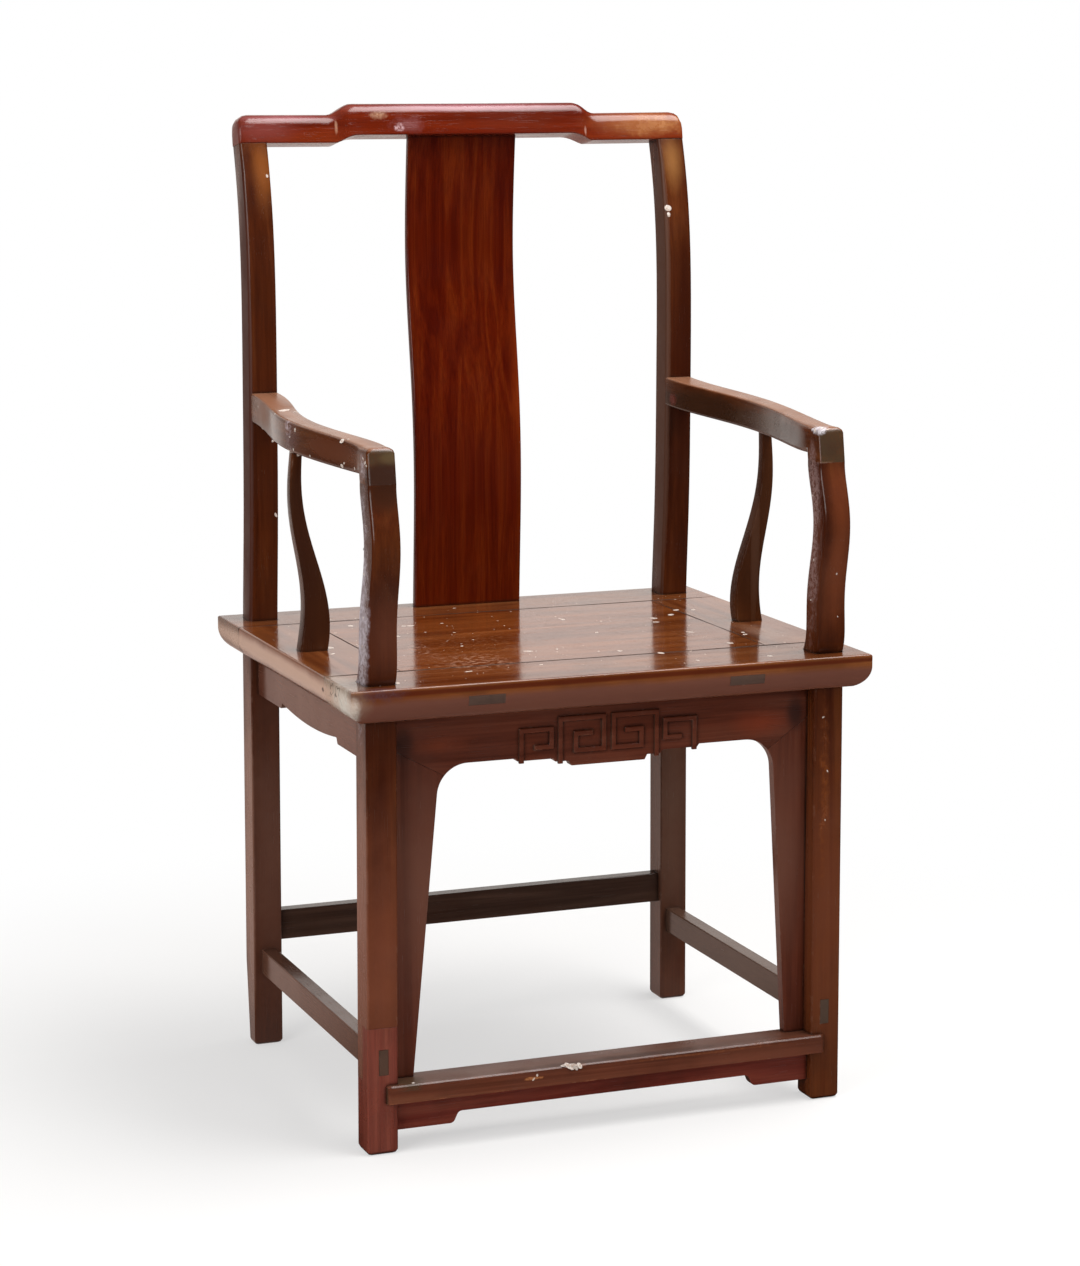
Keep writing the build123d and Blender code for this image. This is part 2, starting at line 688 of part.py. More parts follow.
# armrest on the front post, let into the rear post
arm_blank = arm_body()
arm_across, arm_long, arm_high = arm_tenon
arm_end_z = arm_joint + (arm_stations[-1][3] + arm_stations[-1][4]) / 2
post_face = rear_leg_y + rear_post_lean[1][1] - post_depth / 2
arm_end_y = (post_face - arm_tenon_root, post_face + arm_long)
arm_end_tenon = (around(leg_x, arm_across), arm_end_y, around(arm_end_z, arm_high))
past_post_face = (post_face + arm_scribe, rear_leg_y + leg_size)
arm = arm_blank - block((0, half_width), past_post_face, wider((arm_joint, arm_end_z), leg_size))
arm = arm - rear_post_right + block(*arm_end_tenon)
arm -= front_top_hole

# strut between the side rail and the armrest
foot_across, foot_deep, foot_high = strut_foot_tenon
foot_x = around(leg_x + strut_stations[0][1], foot_across)
foot_tenon = (foot_x, around(strut_setback, foot_deep), (seat_height - foot_high, seat_height + root))
top_across, top_deep, top_high = strut_top_tenon
top_x = around(leg_x + strut_stations[-1][1], top_across)
top_y = around(strut_setback - strut_stations[-1][2], top_deep)
top_tenon = (top_x, top_y, (arm_joint, arm_joint + top_high))
strut = (strut_body() - arm_blank).solids().sort_by(Axis.Z)[0]
strut = strut + block(*foot_tenon) + block(*top_tenon)
arm -= mortise(*top_tenon, tip="+z")
side_rail -= mortise(*foot_tenon, tip="-z")

# mortises in the legs
for hole in (arch_hole, apron_right_hole, rest_hole, rest_apron_hole, stretcher_right_hole):
    front_post_right -= hole
for hole in (apron_right_hole, apron_back_hole, stretcher_right_hole, stretcher_back_hole):
    rear_post_right -= hole
rear_post_right -= mortise(*arm_end_tenon, tip="+y")

# the foot of the -X front leg is a later repair, lapped on in front
front_post_left = mirrored(front_post_right)
repair_x = (-half_width, 0)
repair = block(repair_x, (0, front_leg_y), (-overrun, splice_front_height))
repair += block(repair_x, (front_leg_y, rear_leg_y), (-overrun, splice_back_height))
foot_splice = front_post_left & repair
front_post_left -= repair

# the foot of the -X rear leg is worn away at its outer back corner
wear_high, wear_wide = heel_wear
wear_top = (-leg_outer, rear_leg_y + leg_size / 2, wear_high)
worn_plane = Plane(origin=wear_top, z_dir=(-1, 1, -wear_wide / wear_high))
worn_away = worn_plane * Pos(0, 0, leg_size / 2) * Box(seat_height, seat_height, leg_size)
rear_post_left = mirrored(rear_post_right) - worn_away

pieces = {
    "front_post_right": front_post_right,
    "front_post_left": front_post_left,
    "front_left_foot_splice": foot_splice,
    "rear_post_right": rear_post_right,
    "rear_post_left": rear_post_left,
    "seat_front_rail": front_rail,
    "seat_rear_rail": rear_rail,
    "seat_panel": panel,
    "crest_rail": crest,
    "back_splat": splat,
    "front_apron": arch_head,
    "front_spandrel_right": arch_spandrel_right,
    "front_spandrel_left": arch_spandrel_left,
    "rear_apron": apron_back,
    "footrest": rest,
    "footrest_apron": rest_apron,
    "rear_stretcher": stretcher_back,
}
pairs = {
    "seat_side_rail": side_rail,
    "seat_brace": brace,
    "armrest": arm,
    "arm_strut": strut,
    "side_apron": apron_right,
    "side_stretcher": stretcher_right,
}
for name, shape in pairs.items():
    pieces[name + "_right"] = shape
    pieces[name + "_left"] = mirrored(shape)

overall_depth = crest.bounding_box().max.Y
overall_height = crest.bounding_box().max.Z
to_middle = Pos(0, -overall_depth / 2, 0)
for name, shape in pieces.items():
    export_step(to_middle * shape, f"parts/{name}.step")
print(f"{len(pieces)} pieces, {seat_width:.1f} wide, {overall_depth:.1f} deep, {overall_height:.1f} high")
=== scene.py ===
import bpy
import json
import math
import random
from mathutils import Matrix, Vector
from mathutils.bvhtree import BVHTree


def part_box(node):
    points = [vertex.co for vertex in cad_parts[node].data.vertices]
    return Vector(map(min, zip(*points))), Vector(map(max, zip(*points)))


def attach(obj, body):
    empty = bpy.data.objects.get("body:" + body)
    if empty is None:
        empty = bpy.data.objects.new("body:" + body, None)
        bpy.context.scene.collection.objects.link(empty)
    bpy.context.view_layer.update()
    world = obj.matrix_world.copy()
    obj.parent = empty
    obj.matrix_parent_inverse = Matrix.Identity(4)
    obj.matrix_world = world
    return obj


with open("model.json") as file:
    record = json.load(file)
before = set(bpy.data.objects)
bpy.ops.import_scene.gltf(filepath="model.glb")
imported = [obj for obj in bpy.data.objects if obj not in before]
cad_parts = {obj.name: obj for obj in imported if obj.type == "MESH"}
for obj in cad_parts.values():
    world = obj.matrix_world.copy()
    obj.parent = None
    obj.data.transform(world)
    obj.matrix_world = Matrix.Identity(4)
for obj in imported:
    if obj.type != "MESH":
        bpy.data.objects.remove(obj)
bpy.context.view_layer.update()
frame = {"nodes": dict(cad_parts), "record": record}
chair = frame["nodes"]
print("chair loaded,", len(chair), "pieces")


# small helpers for node trees

def seen(red, green, blue):  # a colour as a screen shows it, 0 to 255, made linear for the shader
    def straight(value):  # the usual curve of a screen
        value = value / 255
        return value / 12.92 if value <= 0.04045 else ((value + 0.055) / 1.055) ** 2.4
    return (straight(red), straight(green), straight(blue), 1.0)


def feed(tree, socket, value):
    if isinstance(value, bpy.types.NodeSocket):
        tree.links.new(value, socket)
    else:
        socket.default_value = value


def putNode(tree, kind, inputs=None, **settings):
    node = tree.nodes.new(kind)
    for name, value in settings.items():
        setattr(node, name, value)
    for name, value in (inputs or {}).items():
        feed(tree, node.inputs[name], value)
    return node


def addNode(tree, kind, inputs=None, **settings):
    return putNode(tree, "ShaderNode" + kind, inputs, **settings)


def sums(tree, operation, first, second=0.0, clamp=False):
    node = addNode(tree, "Math", operation=operation, use_clamp=clamp)
    feed(tree, node.inputs[0], first)
    feed(tree, node.inputs[1], second)
    return node.outputs[0]


def times(tree, first, second):
    return sums(tree, "MULTIPLY", first, second)


def between(tree, value, low, high, start=0.0, end=1.0):
    node = addNode(tree, "MapRange", interpolation_type="SMOOTHSTEP", clamp=True)
    given = {"Value": value, "From Min": low, "From Max": high, "To Min": start, "To Max": end}
    for name, number in given.items():
        feed(tree, node.inputs[name], number)
    return node.outputs[0]


def blendColour(tree, amount, first, second, kind="MIX"):
    node = addNode(tree, "Mix", data_type="RGBA", blend_type=kind, clamp_factor=True)
    feed(tree, node.inputs["Factor"], amount)
    feed(tree, node.inputs[6], first)
    feed(tree, node.inputs[7], second)
    return node.outputs[2]


def vectors(tree, operation, first, second=None, output="Vector"):
    node = addNode(tree, "VectorMath", operation=operation)
    feed(tree, node.inputs[0], first)
    if second is not None:
        feed(tree, node.inputs[1], second)
    return node.outputs[output]


def cloud(tree, where, scale, detail=3.0, roughness=0.55, distortion=0.0):
    node = addNode(tree, "TexNoise", {"Vector": where, "Scale": scale, "Detail": detail,
                                      "Roughness": roughness, "Distortion": distortion})
    return node.outputs["Fac"]


def stretched(tree, where, along, squeeze, shift=(0.0, 0.0, 0.0)):
    scale = [1.0, 1.0, 1.0]
    scale["xyz".index(along)] = squeeze
    node = addNode(tree, "Mapping", {"Vector": where, "Scale": scale, "Location": shift})
    return node.outputs["Vector"]


# the woods

axes = {"x": (1.0, 0.0, 0.0), "y": (0.0, 1.0, 0.0), "z": (0.0, 0.0, 1.0)}

# What a mark has when it says nothing else. "at" and "size" are its middle and half lengths in metres.
# "core" is the part of it that is solid, "ragged" how far its edge wanders and "grainSize" how finely.
# "thin" lets the finish through in fine spots, "strokes" leaves only scratches, "crack" only lines.
plainMark = {
    "edge": 1.1, "core": 0.4, "ragged": 1.6, "grainSize": 90.0, "matt": 0.15,
    "spots": 320.0, "spotLevels": (0.38, 0.62),
    "strokeScale": 520.0, "rare": 0.58, "strokeSoft": 0.14,
    "crackWidth": (0.022, 0.006),
}


def markShape(tree, place, mark):  # a ragged spot of wear, dirt, painted highlight or painted shade: 1 inside, 0 outside
    away = vectors(tree, "SUBTRACT", place, mark["at"])
    away = vectors(tree, "DIVIDE", away, mark["size"])
    far = vectors(tree, "LENGTH", away, output="Value")
    wander = cloud(tree, place, mark["grainSize"], detail=5.0, roughness=0.7)
    ragged = sums(tree, "SUBTRACT", wander, 0.5)
    far = sums(tree, "ADD", far, times(tree, ragged, mark["ragged"]))
    spot = times(tree, between(tree, far, mark["edge"], mark["core"]), mark["amount"])
    if "thin" in mark:
        fine = cloud(tree, place, mark["spots"], roughness=0.7)
        spot = times(tree, spot, between(tree, fine, *mark["spotLevels"], mark["thin"], 1.0))
    if "strokes" in mark:
        across = stretched(tree, place, "x", mark["strokes"])
        drawn = cloud(tree, across, mark["strokeScale"], detail=1.0, roughness=0.5)
        spot = times(tree, spot, between(tree, drawn, mark["rare"], mark["rare"] + mark["strokeSoft"]))
    if "crack" in mark:
        line = cloud(tree, place, mark["crack"], detail=2.0, roughness=0.5)
        line = sums(tree, "SUBTRACT", line, 0.5)
        spot = times(tree, spot, between(tree, sums(tree, "ABSOLUTE", line), *mark["crackWidth"]))
    return spot


def patch(at, size, colour, amount, **more):  # one worn, chipped or stained place, or a painted highlight, reflection or shadow
    return {"at": at, "size": size, "colour": colour, "amount": amount, **more}


def tone(x, y, z, spread, colour, amount, core=0.0, matt=0.0):  # a broad, soft change of colour
    return patch((x, y, z), spread, colour, amount, core=core, ragged=0.5, grainSize=14.0, matt=matt)


# scales of the patterns that every wood shares, and the levels at which each starts and ends
woodSteps = {
    "figure": (0.34, 0.5, 0.66), "figureBend": 0.8,  # dark, middle and light of the broad figure
    "fineStretch": 0.35, "streaks": (0.36, 0.64),
    "poreScale": 3.2, "pores": (0.60, 0.72), "streakSink": 0.5,
    "dull": (0.46, 0.70),
    "endFacing": (0.72, 0.9), "ringScale": 160.0, "rings": (0.3, 0.6), "ringLow": 0.55,
    "topFacing": (0.55, 0.95), "topScale": 60.0, "top": (0.3, 0.6), "topLow": 0.6,
    "edge": (0.01, 0.14), "rubScale": 46.0, "rubSoft": 0.16,  # how far the normal turns at a worn arris
    "corner": (0.93, 0.55),  # open sky at a corner, from where the painted shade and grime of the corner start to where they are full
    "glossScale": 21.0, "gloss": (0.3, 0.7), "wearMatt": 0.22, "endMatt": 0.2, "poreMatt": 0.06,
    "waveScale": 34.0, "bumpDepth": 0.001,
}


def woodMaterial(name, wood, along, marks):
    step = woodSteps
    mat = bpy.data.materials.new(name)
    mat.use_nodes = True
    tree = mat.node_tree
    tree.nodes.clear()
    place = addNode(tree, "TexCoord").outputs["Object"]
    seed = wood["seed"]  # moves the pattern, so that each wood is cut from another part of it
    grainPlace = stretched(tree, place, along, wood["stretch"], (seed, seed * 0.7, seed * 1.3))
    fineStretch = wood["stretch"] * step["fineStretch"]
    finePlace = stretched(tree, place, along, fineStretch, (seed * 2, seed, seed * 0.4))
    # broad figure of the board
    figure = cloud(tree, grainPlace, wood["figure"], distortion=step["figureBend"])
    ramp = addNode(tree, "ValToRGB", {"Fac": figure})
    dark, light = ramp.color_ramp.elements
    dark.position, middlePosition, light.position = step["figure"]
    dark.color, light.color = seen(*wood["deep"]), seen(*wood["warm"])
    ramp.color_ramp.elements.new(middlePosition).color = seen(*wood["body"])
    # fine streaks and pores that run with the grain
    streaks = between(tree, cloud(tree, finePlace, wood["grain"], roughness=0.6), *step["streaks"])
    pores = cloud(tree, finePlace, wood["grain"] * step["poreScale"], detail=1.0, roughness=0.5)
    pores = between(tree, pores, *step["pores"])
    shade = sums(tree, "SUBTRACT", 1.0, times(tree, streaks, wood["streakDepth"]))
    shade = sums(tree, "SUBTRACT", shade, times(tree, pores, wood["poreDepth"]), True)
    colour = blendColour(tree, 1.0, ramp.outputs["Color"], shade, "MULTIPLY")
    # old lacquer that has gone dull and dark in patches
    dull = cloud(tree, place, wood["patchScale"], detail=4.0, roughness=0.62)
    dull = between(tree, dull, *step["dull"])
    colour = blendColour(tree, times(tree, dull, wood["patch"]), colour, seen(*wood["dull"]))
    # ends cut across the grain
    facing = addNode(tree, "NewGeometry").outputs["Normal"]
    across = sums(tree, "ABSOLUTE", vectors(tree, "DOT_PRODUCT", facing, axes[along], "Value"))
    rings = cloud(tree, place, step["ringScale"], detail=5.0, roughness=0.7, distortion=1.5)
    rings = between(tree, rings, *step["rings"], step["ringLow"])
    cut = times(tree, between(tree, across, *step["endFacing"]), rings)
    colour = blendColour(tree, times(tree, cut, wood["endShow"]), colour, seen(*wood["endWood"]))
    # upper faces worn by hands and dusting
    up = vectors(tree, "DOT_PRODUCT", facing, axes["z"], "Value")
    rubbedTop = between(tree, cloud(tree, grainPlace, step["topScale"]), *step["top"], step["topLow"])
    rubbedTop = times(tree, between(tree, up, *step["topFacing"]), rubbedTop)
    colour = blendColour(tree, times(tree, rubbedTop, wood["topShow"]), colour, seen(*wood["topWood"]))
    # arrises rubbed pale, and painted shade with grime darkening the joints and inside corners, found
    # by ambient occlusion
    eased = addNode(tree, "Bevel", {"Radius": wood["wearReach"]}, samples=4).outputs["Normal"]
    turned = vectors(tree, "DOT_PRODUCT", facing, eased, "Value")
    edge = between(tree, sums(tree, "SUBTRACT", 1.0, turned), *step["edge"])
    rubbed = cloud(tree, place, step["rubScale"], detail=5.0, roughness=0.65)
    rubbed = between(tree, rubbed, wood["wearFrom"], wood["wearFrom"] + step["rubSoft"])
    wear = times(tree, edge, rubbed)
    colour = blendColour(tree, times(tree, wear, wood["wear"]), colour, seen(*wood["worn"]))
    # painted shade: ambient occlusion darkens the wood in the inside corners and joints, together with
    # grime
    hollow = addNode(tree, "AmbientOcclusion", {"Distance": wood["cornerShadeReach"]}, samples=4).outputs["AO"]
    cornerShadeAndGrime = between(tree, hollow, *step["corner"])
    colour = blendColour(tree, times(tree, cornerShadeAndGrime, wood["cornerShadeAndGrime"]), colour, seen(*wood["cornerShadeColour"]))
    # gloss
    sheen = cloud(tree, place, step["glossScale"], detail=4.0, roughness=0.6)
    sheen = between(tree, sheen, *step["gloss"], *wood["rough"])
    for share, matt in ((wear, step["wearMatt"]), (cut, step["endMatt"]), (rubbedTop, wood["topMatt"])):
        sheen = sums(tree, "ADD", sheen, times(tree, share, matt))
    sheen = sums(tree, "ADD", sheen, times(tree, pores, step["poreMatt"]), True)
    # single worn, chipped and stained places, and painted highlights, reflections and shadows
    for mark in marks:
        mark = {**plainMark, **mark}
        spot = markShape(tree, place, mark)
        colour = blendColour(tree, spot, colour, seen(*mark["colour"]))
        sheen = sums(tree, "ADD", sheen, times(tree, spot, mark["matt"]), True)
    # pores sink in, the lacquer film lies in faint waves
    relief = times(tree, pores, -wood["poreRelief"])
    relief = sums(tree, "ADD", relief, times(tree, streaks, -wood["poreRelief"] * step["streakSink"]))
    waves = cloud(tree, place, step["waveScale"], detail=2.0)
    relief = sums(tree, "ADD", relief, times(tree, waves, wood["wave"]))
    bump = addNode(tree, "Bump", {"Height": relief, "Strength": 1.0, "Distance": step["bumpDepth"]})
    shader = addNode(tree, "BsdfPrincipled", {"Base Color": colour, "Roughness": sheen,
                                              "Normal": bump.outputs["Normal"], "IOR": wood["ior"]})
    addNode(tree, "OutputMaterial", {"Surface": shader.outputs["BSDF"]})
    return mat


# Colours are as on a screen, 0 to 255. "deep", "body" and "warm" are the figure from dark to light,
# "dull" is lacquer gone matt, "worn" a rubbed arris, "endWood" and "topWood" what shows on ends and on
# upper faces. The smaller "stretch" is, the longer the streaks.
plainWood = {
    "seed": 1.0, "stretch": 0.05, "figure": 38.0, "grain": 420.0,
    "streakDepth": 0.16, "poreDepth": 0.14, "poreRelief": 0.04, "wave": 0.10,
    "deep": (66, 28, 14), "body": (84, 40, 22), "warm": (102, 52, 28),
    "dull": (62, 34, 22), "patch": 0.4, "patchScale": 9.0,
    "endWood": (66, 48, 34), "endShow": 0.8,
    "topWood": (120, 88, 70), "topShow": 0.0, "topMatt": 0.0,
    "worn": (140, 100, 80), "wear": 0.55, "wearReach": 0.0025, "wearFrom": 0.5,
    # painted shade and grime in the inside corners: strength, reach of the ambient occlusion, and
    # colour
    "cornerShadeAndGrime": 0.85, "cornerShadeReach": 0.004, "cornerShadeColour": (26, 12, 8),
    "rough": (0.15, 0.24), "ior": 1.45,
}


def woodWith(**changes):
    return {**plainWood, **changes}


def seam(x, y, wide, deep):  # the dark open line between two boards of the seat
    return patch((x, y, 0.5), (wide, deep, 0.006), (36, 20, 12), 0.92,
                 core=0.7, ragged=0.45, grainSize=24.0, matt=0.6)


seatSeams = [
    seam(-0.235, -0.1597, 0.075, 0.0030), seam(-0.10, -0.1597, 0.10, 0.0023),
    seam(0.04, -0.1597, 0.12, 0.0024), seam(0.20, -0.1597, 0.10, 0.0028),
    seam(-0.18, 0.1553, 0.12, 0.0024), seam(0.02, 0.1553, 0.12, 0.0021),
    seam(0.19, 0.1553, 0.11, 0.0024), seam(-0.2097, 0.03, 0.0012, 0.13),
    seam(-0.2097, -0.10, 0.0010, 0.07), seam(0.2097, 0.06, 0.0013, 0.10),
    seam(0.2097, -0.09, 0.0011, 0.08),
]

seatScuffs = [  # scratched and dulled places in the lacquer of the seat
    patch((-0.152, -0.055, 0.5), (0.022, 0.070, 0.01), (208, 162, 138), 0.5, core=0.1, strokes=0.45,
          strokeScale=260.0, rare=0.52, matt=0.1),
    patch((-0.118, -0.140, 0.5), (0.058, 0.062, 0.01), (208, 162, 136), 0.6, core=0.1, strokes=0.45,
          strokeScale=250.0, rare=0.50, matt=0.1),
    patch((0.245, -0.090, 0.5), (0.032, 0.075, 0.01), (150, 124, 110), 0.5, core=0.0, grainSize=40.0,
          matt=0.22),
]

finishes = {
    "crest_wood": woodWith(
        seed=2.1, deep=(94, 22, 2), body=(112, 32, 6), warm=(126, 44, 12), dull=(96, 36, 20),
        rough=(0.16, 0.22), worn=(180, 130, 110), wear=0.35, endWood=(120, 60, 50)),
    "splat_wood": woodWith(
        seed=3.3, deep=(76, 12, 0), body=(92, 22, 1), warm=(106, 34, 4), dull=(72, 14, 1), stretch=0.02,
        figure=70.0, grain=760.0, streakDepth=0.22, poreDepth=0.08, rough=(0.14, 0.2), wear=0.5,
        worn=(150, 66, 22), patch=0.3),
    "post_wood": woodWith(
        seed=4.7, deep=(62, 22, 6), body=(80, 34, 12), warm=(98, 48, 20), dull=(60, 30, 18)),
    "splice_wood": woodWith(
        seed=5.9, deep=(110, 46, 32), body=(128, 60, 46), warm=(142, 74, 56), endWood=(70, 50, 40),
        rough=(0.24, 0.34)),
    "arm_wood": woodWith(
        seed=6.4, deep=(72, 32, 12), body=(94, 48, 22), warm=(114, 64, 32), worn=(170, 130, 108),
        wear=0.7, topWood=(150, 104, 78), topShow=0.8, topMatt=0.10, endWood=(70, 54, 34),
        endShow=0.85),
    "seat_wood": woodWith(
        seed=7.8, deep=(92, 44, 18), body=(114, 60, 28), warm=(132, 76, 40), rough=(0.09, 0.15),
        worn=(130, 84, 60), wear=0.25, endWood=(120, 92, 72), streakDepth=0.12, poreDepth=0.1),
    "panel_wood": woodWith(
        seed=8.2, deep=(96, 44, 14), body=(118, 60, 24), warm=(138, 76, 36), rough=(0.07, 0.12),
        wear=0.0, streakDepth=0.12, poreDepth=0.1),
    "brace_wood": woodWith(
        seed=9.5, deep=(66, 44, 34), body=(80, 56, 44), warm=(96, 70, 56), rough=(0.4, 0.6),
        endWood=(92, 66, 54), wear=0.1),
    "apron_wood": woodWith(
        seed=10.6, deep=(82, 36, 22), body=(100, 48, 32), warm=(116, 62, 44), dull=(84, 44, 34)),
    "footrest_wood": woodWith(
        seed=11.3, deep=(88, 44, 28), body=(106, 56, 38), warm=(124, 72, 50), topWood=(96, 60, 44),
        topShow=0.7, topMatt=0.15, worn=(176, 98, 56), wear=0.8),
    "footrest_apron_wood": woodWith(
        seed=12.9, deep=(102, 36, 26), body=(120, 50, 38), warm=(134, 64, 48)),
    "stretcher_wood": woodWith(
        seed=13.4, deep=(60, 40, 32), body=(74, 52, 42), warm=(92, 66, 54), endWood=(50, 48, 36),
        endShow=0.9),
}

